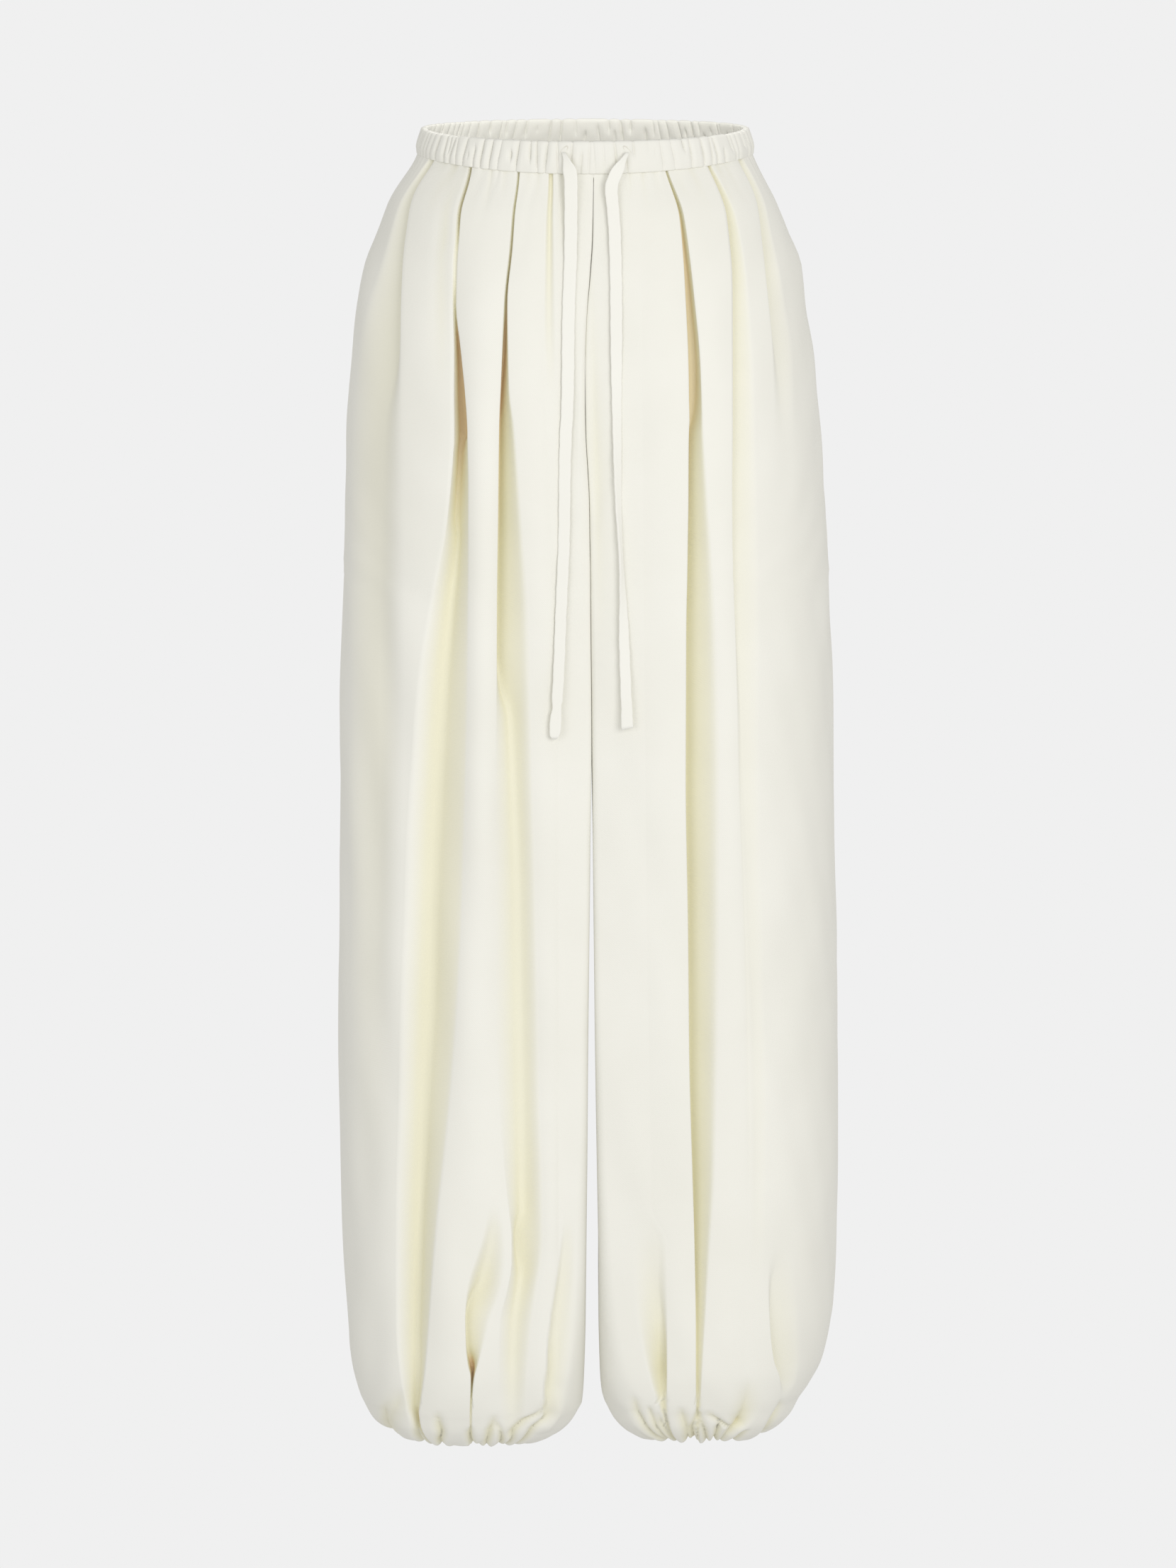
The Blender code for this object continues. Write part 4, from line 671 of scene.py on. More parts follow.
def add_tie(leg):
    route, looks = TIES[leg], TIE_LOOKS[leg]
    z = np.linspace(route[0].z, route[-1].z, TIE_RINGS)
    y = column(route, "y", z) - column(looks, "forward", z)
    path = np.stack([column(route, "x", z), y, z], axis=1) * MM
    width, thickness = column(looks, "width", z), column(looks, "thickness", z)
    turn = np.radians(column(looks, "turn", z))
    rings = []
    for k in range(TIE_RINGS):
        across, out = flat_profile(TIE_SIDES, width[k], thickness[k])
        across = across + 0.12 * math.sin(z[k] * 0.31) + 0.10 * math.sin(z[k] * 0.83 + 1.0)
        c, s = math.cos(turn[k]), math.sin(turn[k])
        # The left tie is cut off at a slant
        slant = 0.25 * smoothstep((z[-1] + 6 - z[k]) / 6) if leg == "left" else 0.0
        ring = np.stack([across * c - out * s, across * s + out * c, across * slant], axis=1) * MM
        rings.append(path[k] + ring)
    piece = dress(add_swept("drawstring_end_" + leg, rings, TIE), "tie", "drawstring_" + leg)


# Sections of the legs
def corner(centre_w, centre_q, reach_w, reach_q, start, end, count):
    """Rounded corner as (w, q) points, with angles in degrees, a little fuller than an ellipse."""
    fullness = 2 / 2.2
    angle = np.radians(np.linspace(start, end, count + 1))
    c, s = np.cos(angle), np.sin(angle)
    c[np.abs(c) < 1e-12] = 0.0
    s[np.abs(s) < 1e-12] = 0.0
    return np.stack([centre_w + reach_w * np.sign(c) * np.abs(c) ** fullness,
                     centre_q + reach_q * np.sign(s) * np.abs(s) ** fullness], axis=1)


def rise_share(face, z):
    """Share of the depth that the centre seam keeps at z: all above the rise, none below the crotch."""
    top = RISE_Z[face]
    if z >= top:
        return 1.0
    if z <= CROTCH_Z:
        return 0.0
    return math.sqrt(1 - ((top - z) / (top - CROTCH_Z)) ** 2)


def outline(leg, face, z):
    """Outline of a panel at height z: (w, q) points from the centre seam to the side seam, and mid."""
    section = {name: float(column(SECTIONS, name, z)) for name in Section._fields[1:]}
    inner = section["part"] / 2
    outer = section["side_" + leg] - LEG_SIGN[leg] * section["mid"]
    depth = section[face]
    corner_w, corner_height = section[face + "_w"], section[face + "_q"]
    corner_q = depth - corner_height
    seam_q = max(HALF_GAP, corner_q * rise_share(face, z))
    reach = section["reach"] * (outer - inner - corner_w)
    parts = []
    if corner_q - seam_q > 0.01:
        q = np.linspace(seam_q, corner_q, 12, endpoint=False)
        parts.append(np.stack([np.full(12, inner), q], axis=1))
    parts.append(corner(inner + corner_w, corner_q, corner_w, corner_height, 180, 90, 50))
    front = np.arange(inner + corner_w + 4, min(inner + DIP_WIDTH, outer - reach) - 2, 4.0)
    parts.append(np.stack([front, np.full(len(front), depth)], axis=1))
    parts.append(corner(outer - reach, HALF_GAP, reach, depth - HALF_GAP, 90, 0, 150))
    points = np.concatenate(parts)
    away = np.clip((points[:, 0] - inner) / DIP_WIDTH, 0, 1)
    points[:, 1] = np.maximum(HALF_GAP, points[:, 1] * (1 - section["dip"] / depth * (1 - away) ** 2))
    return points, section["mid"]


def seam_height(face, x):
    """Height of the waist seam at x in millimetres."""
    if face == "back":
        return np.full_like(x, SIDE_SEAM_TOP)
    across = np.minimum(1.0, np.abs(x - BAND_CENTRE_X) / BAND_HALF_WIDTH)
    return SIDE_SEAM_TOP - FRONT_SEAM_DIP * (1 - across ** 2) ** 0.75


# Columns and rows of the fine panels
def panel_heights():
    """v of each row, from the waist seam down and round under the hem."""
    return np.concatenate([[-11.0, -12.2, -14.0], np.arange(-17.0, -70.0, -4.0),
                           np.arange(-72.0, -900.0, -8.0), np.arange(-900.0, -980.0, -4.0),
                           np.linspace(-981.0, HEM_ROWS[-1].v, 46)])


def crowded(path, lengths, end, shares, crowd):
    """Lengths along the stretch beside the centre seam, partly by how the outline turns."""
    steps = np.diff(path, axis=0)
    heading = np.unwrap(np.arctan2(steps[:, 1], steps[:, 0]))
    turned = np.concatenate([[0.0], np.cumsum(np.abs(np.diff(heading))), [0.0]])
    turned[-1] = turned[-2]
    by_turn = turned / np.interp(end, lengths, turned)
    return np.interp(shares, lengths / end * (1 - crowd) + by_turn * crowd, lengths)


def crowd_to_end(t):
    """Spreads shares from 0 to 1 evenly, but close together near 1."""
    return 1.17 * t - 0.17 * t ** 6


def run_share(index, last, t):
    """Share along a stretch between two folds, with columns close together beside each fold's edge."""
    if index == 0:
        return crowd_to_end(t)
    if index == last:
        return 1 - crowd_to_end(1 - t)
    away = 2 * t - 1
    return 0.5 + 0.5 * math.copysign(crowd_to_end(abs(away)), away)


def column_parts(panel):
    """Each column as (stretch, part of a fold or plain, share of that part)."""
    columns = []
    last = len(panel.run_columns) - 1
    for index, count in enumerate(panel.run_columns):
        columns += [(2 * index, "run", run_share(index, last, k / count)) for k in range(count)]
        if index < last:
            for part, wide in (("near", WALL_COLUMNS), ("floor", FLOOR_COLUMNS), ("far", WALL_COLUMNS)):
                columns += [(2 * index + 1, part, k / wide) for k in range(wide)]
    columns.append((2 * last, "run", 1.0))
    return columns


def measured_rows(panel, plain_z, fold_v):
    """Each row's outline, the lengths along it, where the legs meet and where the folds' edges lie."""
    paths, lengths, mids, edges = [], [], [], []
    for z, v in zip(plain_z, fold_v):
        path, mid = outline(panel.leg, panel.face, z)
        along = np.concatenate([[0.0], np.cumsum(np.linalg.norm(np.diff(path, axis=0), axis=1))])
        facing = int(np.argmax(path[:, 0] > path[0, 0] + 1e-6))
        row_edges = [0.0]
        for fold in panel.folds:
            for side in ("near", "far"):
                w = float(column(fold, side, v)) - LEG_SIGN[panel.leg] * mid
                row_edges.append(float(np.interp(w, path[facing - 1:, 0], along[facing - 1:])))
        paths.append(path)
        lengths.append(along)
        mids.append(mid)
        edges.append(row_edges + [along[-1]])
    return paths, lengths, np.array(mids), np.array(edges)


def column_lengths(panel, v, plain_z, fold_v, paths, lengths, edges):
    """Length along its row of every point of a panel. Under the hem the columns spread evenly."""
    columns = column_parts(panel)
    count = len(columns)
    walls = [fold_shares(fold, fold_v)[:2] for fold in panel.folds]
    s = np.zeros((len(v), count))
    for k, (stretch, part, share) in enumerate(columns):
        start, end = edges[:, stretch], edges[:, stretch + 1]
        place = share
        if part != "run":
            near_wall, far_wall = walls[stretch // 2]
            place = {"near": near_wall * share, "floor": near_wall + (1 - near_wall - far_wall) * share,
                     "far": 1 - far_wall * (1 - share)}[part]
        s[:, k] = start + (end - start) * place
    beside = [k for k, (stretch, _, _) in enumerate(columns) if stretch == 0]
    shares = np.array([columns[k][2] for k in beside])
    corner_w = column(SECTIONS, panel.face + "_w", plain_z)
    crowd = CORNER_CROWD * np.minimum(1.0, corner_w / CORNER_CROWD_WIDTH)
    for r in range(len(v)):
        s[r, beside] = crowded(paths[r], lengths[r], edges[r, 1], shares, crowd[r])
    even = below(v, *COLUMNS_EVEN_OUT)[:, None]
    return s * (1 - even) + edges[:, -1:] * np.arange(count) / (count - 1) * even


# Relief of the fine panels
def fold_shares(fold, z):
    """Widths of a fold's walls as shares of its width, and how crisp its near and its far edge are."""
    near_wall, far_wall = column(fold, "near_wall", z), column(fold, "far_wall", z)
    deep = np.clip(column(fold, "depth", z) / CRISP_DEPTH, 0, 1)
    crisp_near = np.clip((CRISP_BELOW - near_wall) / CRISP_OVER, 0, 1) * deep
    crisp_far = np.clip((CRISP_BELOW - far_wall) / CRISP_OVER, 0, 1) * deep
    near_wall = near_wall * (1 - CRISP_NARROWS * crisp_near)
    far_wall = far_wall * (1 - CRISP_NARROWS * crisp_far)
    spare = np.maximum(0, 1 - FOLD_FLOOR - near_wall - far_wall)
    far_wall = far_wall + spare * crisp_near * (1 - crisp_far)
    near_wall = near_wall + spare * crisp_far * (1 - crisp_near)
    squeeze = np.minimum(1.0, (1 - FOLD_FLOOR) / (near_wall + far_wall))
    return near_wall * squeeze, far_wall * squeeze, crisp_near, crisp_far


def soft_ramp(t):
    """Rises from 0 to 1 with a soft start and then evenly."""
    t = np.clip(t, 0, 1)
    rise = np.where(t < RAMP_START, t * t / (2 * RAMP_START), t - RAMP_START / 2)
    return rise / (1 - RAMP_START / 2)


def wall_rise(t, crisp, only_other, pressed):
    """How far down a wall lies at share t of it. It falls evenly from a pressed edge, and from a soft
    one that faces a crisp one."""
    rise = smoothstep(t) * (1 - only_other) + soft_ramp(t) * only_other
    if pressed:
        rise = rise * crisp + (1 - soft_ramp(1 - t)) * (1 - crisp)
    return rise


def fold_depth(fold, v, s, near, far, pressed=None):
    """Depth of a fold at lengths s along the section, how far its walls slide under its crisp edges, and
    how shaded it is: 0 on open cloth, about 1 in a valley and 2 in a narrow pit."""
    near_wall, far_wall, crisp_near, crisp_far = (values[:, None] for values in fold_shares(fold, v))
    depth = column(fold, "depth", v)[:, None]
    width = (far - near)[:, None]
    t = (s - near[:, None]) / width
    rise_near = wall_rise(t / near_wall, crisp_near, crisp_far * (1 - crisp_near), pressed == "near")
    rise_far = wall_rise((1 - t) / far_wall, crisp_far, crisp_near * (1 - crisp_far), pressed == "far")
    under_near = (near_wall * width + UNDERCUT) * crisp_near
    under_far = (far_wall * width + UNDERCUT) * crisp_far
    slide = (under_far * rise_far * (1 - smoothstep((1 - t - far_wall) / 0.6))
             - under_near * rise_near * (1 - smoothstep((t - near_wall) / 0.6)))
    inside = (t > 0) & (t < 1)
    spread_near, spread_far = SHADE_SPREADS[pressed]
    shade = (depth * rise_near ** spread_near * rise_far ** spread_far
             * np.clip(FOLD_SHADE_WIDTH / width, 0.5, 2.4) / FOLD_SHADE_DEPTH)
    return depth * rise_near * rise_far, slide * inside, shade


def crease_depth(crease, v, at):
    """Depth of a crease at places given by v and by the distance from the centre plane."""
    depth, centre, width = (column(crease, name, v)[:, None] for name in ("depth", "at", "width"))
    reach = v <= crease[0].v + 0.01
    if crease[-1].depth == 0:
        reach = reach & (v >= crease[-1].v - 0.01)
    return depth * peak(np.abs(at - centre) / width, 1.6, 2) * reach[:, None]


def random_gathers(panel, v, s, length):
    """Irregular gathers at the hem, spaced along the section, which grow towards the hem ring."""
    rng = np.random.default_rng(panel.seed)
    count = panel.gathers
    places = (np.arange(count) + 0.5 + rng.uniform(-0.36, 0.36, count)) / count
    total = np.zeros_like(s)
    for place in places:
        start = rng.uniform(-1004, -962) if panel.face == "back" else rng.uniform(-1018, -996)
        size = rng.uniform(2.4, 4.6)
        width = rng.uniform(0.35, 0.62) * 0.5 * length / count
        lean = rng.uniform(-0.12, 0.12)
        centre = place * length[:, None] + lean * (v[:, None] + 1000)
        away = np.abs(s - centre) / (width[:, None] * 1.9)
        total += size * below(v, start, GATHER_LENGTH)[:, None] * peak(away, 1, 1.6)
    return total


def waist_gathers(panel, v, s, length):
    """Small pinches under the waistband."""
    rng = np.random.default_rng(panel.seed + 50)
    places = (np.arange(WAIST_PINCHES) + 0.5 + rng.uniform(-0.4, 0.4, WAIST_PINCHES)) / WAIST_PINCHES
    total = np.zeros_like(s)
    for place in places:
        size = rng.uniform(0.3, 1.1)
        fade = rng.uniform(8, 26) if panel.face == "front" else rng.uniform(12, 60)
        width = rng.uniform(1.6, 3.0)
        grow = np.exp(-np.maximum(TOP_Z - v, 0) / fade)[:, None]
        away = np.abs(s - place * length[:, None]) / (width * (1.0 + 0.02 * (TOP_Z - v))[:, None])
        total += size * grow * peak(away, 1.5, 1.6)
    return total


def drift(panel, v, s):
    """Slight unevenness of hanging cloth."""
    rng = np.random.default_rng(panel.seed + 90)
    total = np.zeros_like(s)
    for _ in range(9):
        tall, wide = rng.uniform(90, 260), rng.uniform(26, 70)
        total += rng.uniform(0.08, 0.2) * np.sin(v[:, None] * 2 * np.pi / tall + s * 2 * np.pi / wide
                                                 * rng.choice([-1, 1]) + rng.uniform(0, 6.3))
    return total * below(v, *DRIFT_GROWS)[:, None]


def main_relief(panel, v, fold_v, s, edges):
    """Depth, slide and shade of the main folds, with the swells between them."""
    depth, slide, shade = np.zeros_like(s), np.zeros_like(s), np.zeros_like(s)
    fade = 1 - 0.55 * below(v, *FOLDS_FADE)[:, None]
    for index, fold in enumerate(panel.folds):
        near, far = edges[:, 2 * index + 1], edges[:, 2 * index + 2]
        parts = fold_depth(fold, fold_v, s, near, far, panel.pressed.get(index))
        for total, part in zip((depth, slide, shade), parts):
            total += part * fade
    grows = (below(v, *SWELLS_GROW) * (1 - below(v, *SWELLS_END)))[:, None]
    for swell in panel.swells:
        start, end = edges[:, 2 * swell.after + 2][:, None], edges[:, 2 * swell.before + 1][:, None]
        place = np.clip((s - start) / (end - start), 0, 1)
        depth -= swell.height * grows * 4 * place * (1 - place)
    return depth, slide, shade


def fine_relief(panel, v, s, edges, distance):
    """Depth and shade of the creases, gathers and small folds."""
    depth, shade = np.zeros_like(s), np.zeros_like(s)
    for crease in panel.creases:
        part = crease_depth(crease, v, distance)
        depth += part
        shade += np.clip(part, 0, 9) / CREASE_SHADE_DEPTH
    for fold in panel.low_folds:
        part, _, dark = fold_depth(fold, v, distance, column(fold, "near", v), column(fold, "far", v))
        depth += part
        shade += dark
    gathers = random_gathers(panel, v, s, edges[:, -1])
    depth += gathers + waist_gathers(panel, v, s, edges[:, -1]) + drift(panel, v, s)
    return depth, shade + gathers / GATHER_SHADE_DEPTH


# The fine panels themselves
def base_surface(panel, v, plain_z, mids, flat):
    """The panel without its relief, from its flat sections, shaped to the waist seam and the hem ring."""
    leg_sign, face_sign = LEG_SIGN[panel.leg], FACE_SIGN[panel.face]
    x = mids[:, None] + leg_sign * flat[..., 0]
    y = face_sign * flat[..., 1]
    behind_front = column(SECTIONS, panel.face, plain_z)[:, None] - flat[..., 1] - LEAN_BEHIND
    leans = below(v, *LEAN_GROWS) * (1 - below(v, *LEAN_ENDS))
    x = x + (LEAN_SIDEWAYS * leans[:, None] * peak(flat[..., 0], LEAN_WIDTH, 1)
             * bell(behind_front, LEAN_BEHIND))
    top_fade = smoothstep((v - DIP_FADES_Z) / (TOP_Z - DIP_FADES_Z))[:, None]
    z = plain_z[:, None] + (seam_height(panel.face, x) - TOP_Z) * top_fade
    hem_z, spread, ring = (column(HEM_ROWS, name, v)[:, None] for name in ("z", "spread", "ring"))
    z = np.where((v < LAST_PLAIN_Z)[:, None], hem_z, z)
    z = z + HEM_LIFT[panel.leg] * below(z, *HEM_LIFT_GROWS)
    centre = HEM_CENTRE_X[panel.leg]
    angle = np.arctan2(np.abs(y), -leg_sign * (x - centre))
    ring_x = centre - leg_sign * HEM_RING_RADIUS * np.cos(angle)
    ring_y = face_sign * HEM_RING_RADIUS * np.sin(angle)
    x = (centre + (x - centre) * spread) * (1 - ring) + ring_x * ring
    y = y * spread * (1 - ring) + ring_y * ring
    # The top is drawn in to the band's loop
    around = np.arctan2(np.abs(y) / BAND_DEPTH, (x - BAND_CENTRE_X) / BAND_HALF_WIDTH)
    drawn = np.clip((v - DRAWN_IN_Z) / DRAWN_IN_LENGTH, 0, 1)[:, None] ** 2
    x = x + (BAND_CENTRE_X + (BAND_HALF_WIDTH - BAND_TUCK) * np.cos(around) - x) * drawn
    y = y + (face_sign * np.maximum(HALF_GAP, (BAND_DEPTH - BAND_TUCK) * np.sin(around)) - y) * drawn
    return np.stack([x, y, z], axis=-1)


def panel_grid(panel):
    """Outer face of a panel as rows of points in metres, with v of its rows and how shaded it is."""
    v = panel_heights()
    leg_sign, face_sign = LEG_SIGN[panel.leg], FACE_SIGN[panel.face]
    plain_z, fold_v = np.maximum(v, LAST_PLAIN_Z), np.maximum(v, FOLDS_END_V)
    paths, lengths, mids, edges = measured_rows(panel, plain_z, fold_v)
    s = column_lengths(panel, v, plain_z, fold_v, paths, lengths, edges)
    depth, slide, shade = main_relief(panel, v, fold_v, s, edges)

    flat, distance = np.zeros((*s.shape, 2)), np.zeros_like(s)
    sideways = np.zeros((*s.shape, 3))
    for r, (path, along) in enumerate(zip(paths, lengths)):
        place = s[r] + slide[r]
        for axis, sign in ((0, leg_sign), (1, face_sign)):
            flat[r, :, axis] = np.interp(np.clip(place, 0, along[-1]), along, path[:, axis])
            ahead, behind = (np.interp(place + step, along, path[:, axis]) for step in (1.0, -1.0))
            sideways[r, :, axis] = sign * (ahead - behind)
        distance[r] = np.interp(s[r], along, path[:, 0]) + leg_sign * mids[r]
    base = base_surface(panel, v, plain_z, mids, flat)
    normal = unit(np.cross(unit(sideways), unit(np.gradient(base, axis=0))))
    normal *= np.sign(normal[len(v) // 2, s.shape[1] // 2, 1] * face_sign)

    fine_depth, fine_shade = fine_relief(panel, v, s, edges, distance)
    depth, shade = depth + fine_depth, shade + fine_shade
    # Seams along both edges lie in a fine groove, and nothing draws the edges at the centre apart
    facing_out = np.abs(normal[..., 1])
    depth += 0.9 * bell(edges[:, -1:] - s, 1.3)
    depth += 0.35 * bell(s, 1.6) * facing_out
    depth *= 1 - bell(flat[..., 0] - flat[:, :1, 0], 3.0) * (1 - facing_out)
    depth += 0.2 * smoothstep((v + 15) / 4)[:, None]
    outer = base - normal * depth[..., None]
    outer[..., 1] = face_sign * np.maximum(face_sign * outer[..., 1], HALF_GAP)
    outer[:, -1, 1] = face_sign * HALF_GAP
    return outer * MM, v, shade


def panel_inner(outer, face_sign):
    """Inner face: the outer one moved in by the cloth's wall, level along the seams."""
    normals = unit(np.cross(np.gradient(outer, axis=1), np.gradient(outer, axis=0)))
    if normals[outer.shape[0] // 2, outer.shape[1] // 2, 1] * face_sign < 0:
        normals = -normals
    normals[:, -1, 1] = 0.0
    normals[:, 0, 1] = np.where(np.abs(outer[:, 0, 1]) < 1 * MM, 0.0, normals[:, 0, 1])
    normals[0, :, 2] = 0.0
    inner = outer - unit(normals) * WALL
    inner[..., 1] = face_sign * np.maximum(face_sign * inner[..., 1], HALF_GAP * MM)
    inner[:, -1, 1] = outer[:, -1, 1]
    return inner


def open_pocket(grid, face_sign):
    """Parts a panel's side edge from the side seam along the pocket's slit."""
    middle = (POCKET_TOP_Z + POCKET_BOTTOM_Z) / 2 * MM
    half = (POCKET_TOP_Z - POCKET_BOTTOM_Z) / 2 * MM
    edge = grid[:, -1:, :]
    away = np.abs(edge[..., 2] - middle) / half
    opening = np.where(away < 1, POCKET_SLIT / 2 * MM * (1 - away ** 2), 0.0)
    grid[..., 1] += face_sign * opening * bell(np.linalg.norm(grid - edge, axis=-1), 6 * MM)


def add_panels():
    grids, pieces = {}, {}
    for name, panel in PANELS.items():
        face_sign = FACE_SIGN[panel.face]
        outer, v, shade = panel_grid(panel)
        inner = panel_inner(outer, face_sign)
        grids[name] = outer.copy(), inner.copy(), v
        open_pocket(outer, face_sign)
        open_pocket(inner, face_sign)
        pieces[name] = dress(add_shell("cloth_" + name, outer, inner, CLOTH, shade), "cloth", name)
    return grids, pieces


# Waistband
def band_creases(face):
    """Each crease's angle from the side seam, slant, strength and how far down and up it reaches."""
    rng = np.random.default_rng(BAND_SEEDS[face])
    count = BAND_CREASES[face]
    steps = rng.uniform(0.45, 1.55, count + 1)
    places = np.cumsum(steps)[:-1] / steps.sum() * math.pi
    slant = -0.038 * np.cos(places) + rng.uniform(-0.018, 0.018, count)
    strength = rng.uniform(0.45, 1.0, count)
    reach_low = np.where(rng.uniform(size=count) < 0.25, rng.uniform(0.2, 0.5, count), -0.2)
    reach_high = np.where(rng.uniform(size=count) < 0.2, rng.uniform(0.55, 0.85, count), 1.2)
    return zip(places, slant, strength, reach_low, reach_high)


def casing_loop():
    """Cross-section of a casing as (outwards, up) shares: outer face, top, inner face and bottom."""
    turns = np.pi * np.arange(1, 6) / 6
    c, s = 0.5 * np.cos(turns), 0.05 * np.sin(turns)
    outward = np.concatenate([np.ones(11), 0.5 + c, np.zeros(9), 0.5 - c])
    up = np.concatenate([0.05 + 0.90 * np.arange(11) / 10, 0.95 + s,
                         0.95 - 0.90 * np.arange(9) / 8, 0.05 - s])
    return outward[None, :], up[None, :]


def band_half(face):
    """Rings of points of one half of the waistband, from side seam to side seam."""
    outward, up = casing_loop()
    angle = np.linspace(0, math.pi, BAND_COLUMNS + 1)[:, None]
    across, forward = np.cos(angle), np.sin(angle)
    middle_x = BAND_CENTRE_X + (BAND_HALF_WIDTH - BAND_WALL / 2) * across
    bottom = seam_height(face, middle_x) + SEAM_GAP
    height = BAND_TOP_SIDE + BAND_TOP_LIFT[face] * forward - bottom
    depth = np.zeros((BAND_COLUMNS + 1, up.shape[1]))
    spacing = math.pi / BAND_CREASES[face]
    for place, lean, size, low, high in band_creases(face):
        away = np.abs(angle - place + lean * (up - 0.5)) / spacing
        reach = smoothstep((up - low) / 0.25) * below(up, high, 0.25)
        depth += size * reach * (0.8 * peak(away, 0.50, 1.4) + 0.75 * peak(away, 0.13, 1))
    calm = 1.0
    for place, width, share in BAND_CALM[face]:
        calm = calm - share * bell(BAND_CENTRE_X + BAND_HALF_WIDTH * across - place, width)
    side = smoothstep(np.minimum(angle, math.pi - angle) / 0.03)
    depth = np.minimum(depth, 1.4) * calm * side
    # Pillows between the creases, fullest at mid height
    pillow = 0.5 + 0.5 * np.sin(np.pi * np.clip(up, 0, 1))
    outer_depth = (1.7 * depth - 1.1 * (1 - depth) * calm * side) * pillow
    cap = np.clip(np.minimum(outward, 1 - outward) * 2, 0, 1)
    out_push = np.where(outward > 0.5, -outer_depth, outer_depth * 0.75) * (1 - cap)
    at_edge = np.where(up > 0.5, smoothstep((up - 0.8) / 0.2), below(up, 0.2, 0.2))
    up_push = np.where(up > 0.5, -(1.2 * depth - 0.5), 0.8 * depth) * (0.25 + 0.75 * cap) * at_edge
    # The lower edge lies close on the panels and laps over their top
    out_push = out_push - (0.7 + 0.7 * across ** 4) * below(up, 0.3, 0.3) * outward
    up_push = up_push - BAND_LIP * below(up, 0.15, 0.15) * smoothstep(outward * 2 - 0.6)
    taper = (BAND_TAPER + BAND_SIDE_TAPER * across ** 4) * up
    body = outward * (BAND_WALL + 0.6) - BAND_WALL - taper + out_push
    x = BAND_CENTRE_X + (BAND_HALF_WIDTH + body) * across
    y = FACE_SIGN[face] * np.maximum(HALF_GAP, (BAND_DEPTH + body) * forward)
    z = bottom + height * up + up_push * side
    return np.stack([x, y, z], axis=-1) * MM


def add_waistband():
    return {face: dress(add_swept("band_" + face, band_half(face), CASING), "casing", "waistband_" + face)
            for face in ("front", "back")}


def add_buttonhole(leg):
    """A small stitched oval where a free end of the drawstring leaves the band."""
    start = TIES[leg][0]
    centre = np.array([start.x, 0, start.z + 1.0])
    tilt = math.radians(BUTTONHOLE_TILT[leg])
    along = np.array([math.cos(tilt), 0, math.sin(tilt)])
    upright = np.array([-math.sin(tilt), 0, math.cos(tilt)])
    rings = []
    for k in range(BUTTONHOLE_STITCHES):
        angle = 2 * math.pi * k / BUTTONHOLE_STITCHES
        c, s = math.cos(angle), math.sin(angle)
        place = centre + BUTTONHOLE[0] * c * along + BUTTONHOLE[1] * s * upright
        across = min(1.0, abs(place[0] - BAND_CENTRE_X) / BAND_HALF_WIDTH)
        place[1] = -(BAND_DEPTH * math.sqrt(1 - across ** 2) + 0.7 - BAND_TAPER * 0.6)
        radius = THREAD_RADIUS + 0.12 * (k % 2)
        outwards = unit(c * along + s * upright)
        ring = [place + radius * (math.cos(t) * outwards + math.sin(t) * np.array([0, -1, 0]))
                for t in np.linspace(0, 2 * math.pi, 8, endpoint=False)]
        rings.append(np.array(ring) * MM)
    dress(add_swept("buttonhole_" + leg, rings, THREAD, closed=True), "casing")


def add_hem_casing(leg):
    """The elastic casing of a leg, puckered, standing on the turned-in edge of the cloth."""
    rng = np.random.default_rng(HEM_SEEDS[leg])
    outward, up = casing_loop()
    angle = np.linspace(0, 2 * math.pi, HEM_COLUMNS, endpoint=False)[:, None]
    spacing = 2 * math.pi / HEM_PUCKERS
    depth = np.zeros((HEM_COLUMNS, up.shape[1]))
    for k in range(HEM_PUCKERS):
        centre = spacing * (k + rng.uniform(-0.3, 0.3)) + rng.uniform(-0.03, 0.03) * (up - 0.5)
        away = np.abs((angle - centre + math.pi) % (2 * math.pi) - math.pi) / spacing
        depth += rng.uniform(0.6, 1.0) * peak(away, 0.55, 1.4)
    push = (0.5 - 1.1 * depth) * (0.5 + 0.5 * np.sin(np.pi * up))
    push = np.where(outward > 0.5, push, -push * 0.5)
    radius = HEM_RING_RADIUS - HEM_CASING_WALL + outward * (HEM_CASING_WALL + 0.3) + push
    z = HEM_ROWS[-1].z + HEM_LIFT[leg] + HEM_CASING_LIFT + HEM_CASING_HEIGHT * up + 0 * angle
    rings = np.stack([HEM_CENTRE_X[leg] + radius * np.cos(angle), radius * np.sin(angle), z], axis=-1) * MM
    return dress(add_swept("hem_elastic_" + leg, rings, CASING, closed=True), "casing", "hem_casing_" + leg)


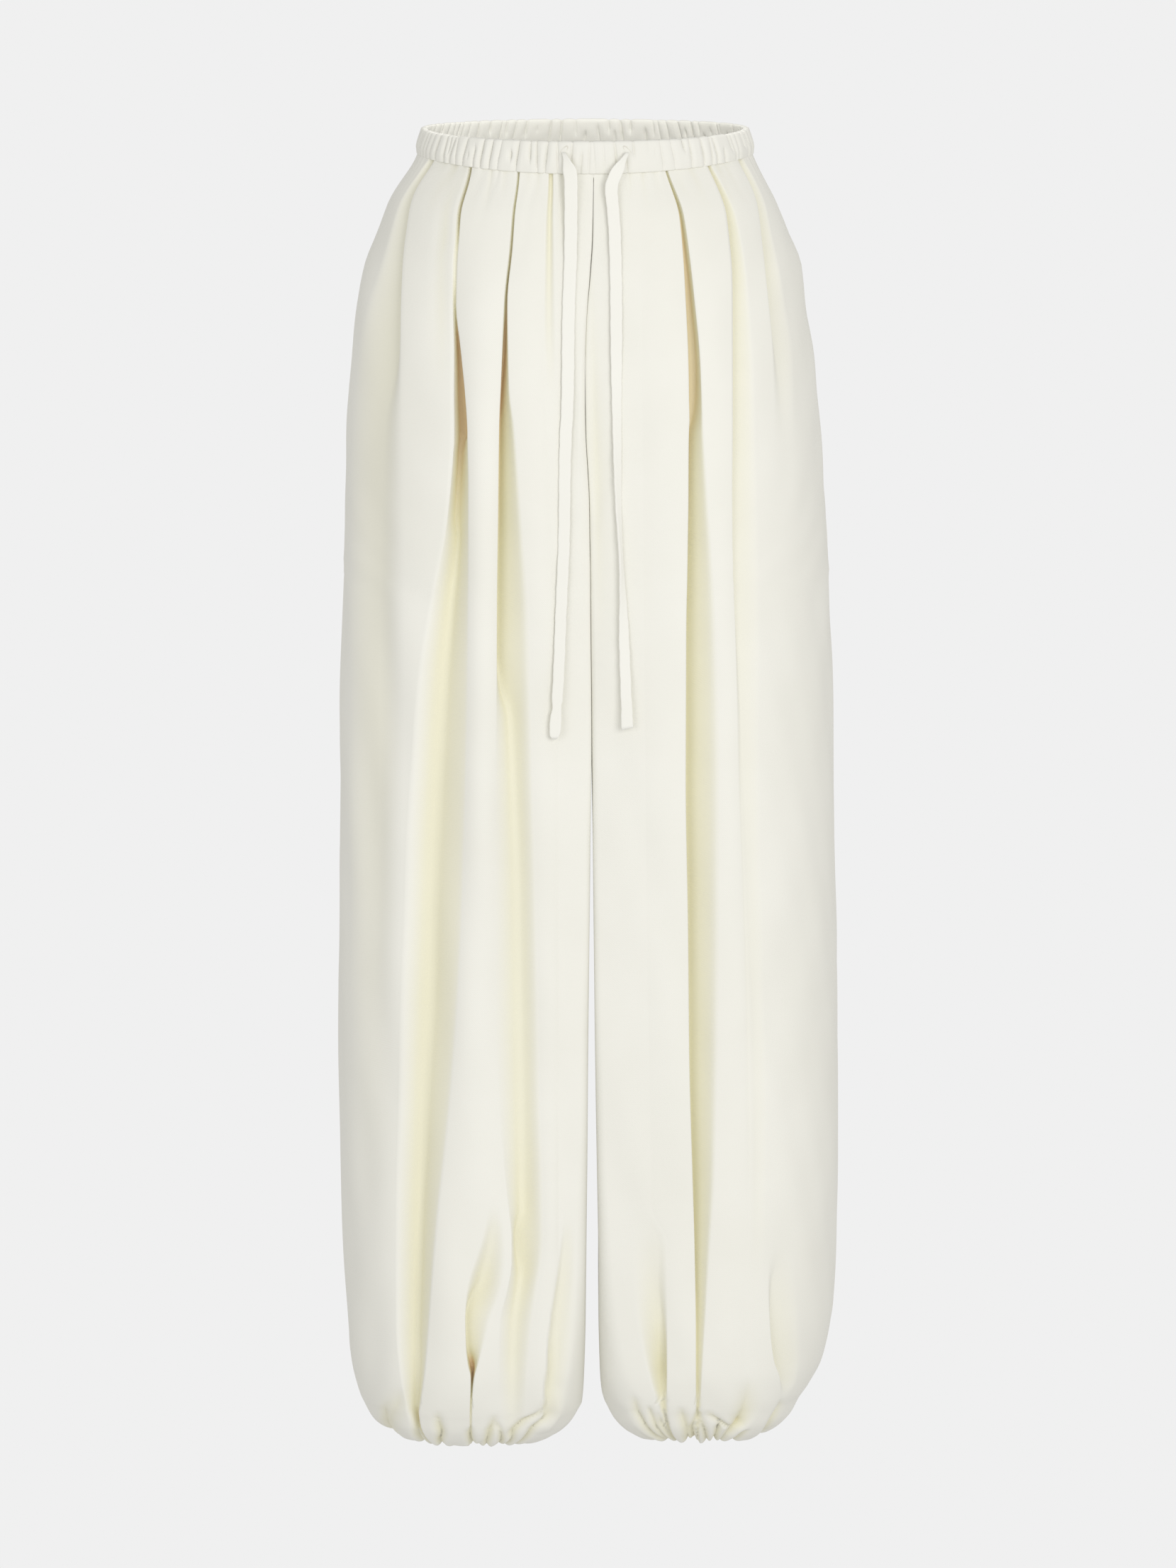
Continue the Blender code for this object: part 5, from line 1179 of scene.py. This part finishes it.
def add_pocket_facing(leg, grids):
    """A narrow strip of cloth behind a pocket's slit, made from the panels' inner faces moved in."""
    stops = np.linspace(0, POCKET_FACING_HALF_WIDTH * MM, 9)
    sides = []
    for face in ("front", "back"):
        outer, inner, v = grids[face + "_" + leg]
        beside = (v <= POCKET_TOP_Z + 5) & (v >= POCKET_BOTTOM_Z - 5)
        line, inward = inner[beside, ::-1], unit(inner - outer)[beside, ::-1]
        along = np.cumsum(np.linalg.norm(np.diff(line, axis=1), axis=2), axis=1)
        along = np.concatenate([np.zeros((len(line), 1)), along], axis=1)
        places, normals = (np.array([np.stack([np.interp(stops, along[r], values[r, :, axis])
                                               for axis in range(3)], axis=1) for r in range(len(line))])
                           for values in (line, inward))
        sides.append((places, unit(normals)))
    (front, front_in), (back, back_in) = sides
    seam = (front[:, :1] + back[:, :1]) / 2
    seam_in = unit(front_in[:, :1] + back_in[:, :1])
    line = np.concatenate([front[:, :0:-1], seam, back[:, 1:]], axis=1)
    inward = np.concatenate([front_in[:, :0:-1], seam_in, back_in[:, 1:]], axis=1)
    outer = line + inward * POCKET_FACING_GAP * MM
    inner = line + inward * (POCKET_FACING_GAP + POCKET_FACING_WALL) * MM
    return dress(add_shell("pocket_strip_" + leg, outer, inner, CLOTH), "cloth", "pocket_facing_" + leg)


# Studio
def add_studio():
    world = bpy.data.worlds.new("Studio")
    bpy.context.scene.world = world
    world.use_nodes = True
    tree = world.node_tree
    tree.nodes.clear()
    light = node(tree, "Background", {"Color": (1.0, 0.995, 0.985, 1.0), "Strength": AMBIENT})
    seen = node(tree, "Background", {"Color": BACKDROP, "Strength": 1.0})
    mix = node(tree, "MixShader", {"Fac": node(tree, "LightPath").outputs["Is Camera Ray"],
                                   1: light.outputs["Background"], 2: seen.outputs["Background"]})
    node(tree, "OutputWorld", {"Surface": mix.outputs["Shader"]})

    for name, place, aim, size, power, tint in LIGHTS:
        data = bpy.data.lights.new(name, "AREA")
        data.shape = "RECTANGLE"
        data.size, data.size_y = size
        data.energy = power
        data.color = tint
        lamp = bpy.data.objects.new(name, data)
        bpy.context.scene.collection.objects.link(lamp)
        lamp.location = place
        lamp.rotation_euler = (Vector(aim) - Vector(place)).to_track_quat("-Z", "Y").to_euler()
        lamp.visible_camera = False

    material = bpy.data.materials.new("floor_pale")
    material.use_nodes = True
    tree = material.node_tree
    tree.nodes.clear()
    glow = node(tree, "Emission", {"Color": BACKDROP, "Strength": 1.0})
    node(tree, "OutputMaterial", {"Surface": glow.outputs["Emission"]})
    angles = [2 * math.pi * k / FLOOR_SIDES for k in range(FLOOR_SIDES)]
    points = [(FLOOR_RADIUS * math.cos(a), FLOOR_RADIUS * math.sin(a), FLOOR_Z) for a in angles]
    floor = add_object("floor", points, [list(range(FLOOR_SIDES))], material)
    for kind in ("diffuse", "glossy", "transmission", "volume_scatter", "shadow"):
        setattr(floor, "visible_" + kind, False)
    bpy.context.scene.view_settings.view_transform = "Standard"
    bpy.context.scene.view_settings.look = "None"


add_camera()
for leg in LEGS:
    add_tie(leg)
GRIDS, PANEL_PIECES = add_panels()
BAND_PIECES = add_waistband()
for leg in LEGS:
    add_buttonhole(leg)
HEM_PIECES = {leg: add_hem_casing(leg) for leg in LEGS}
STRIP_PIECES = {leg: add_pocket_facing(leg, GRIDS) for leg in LEGS}
add_studio()
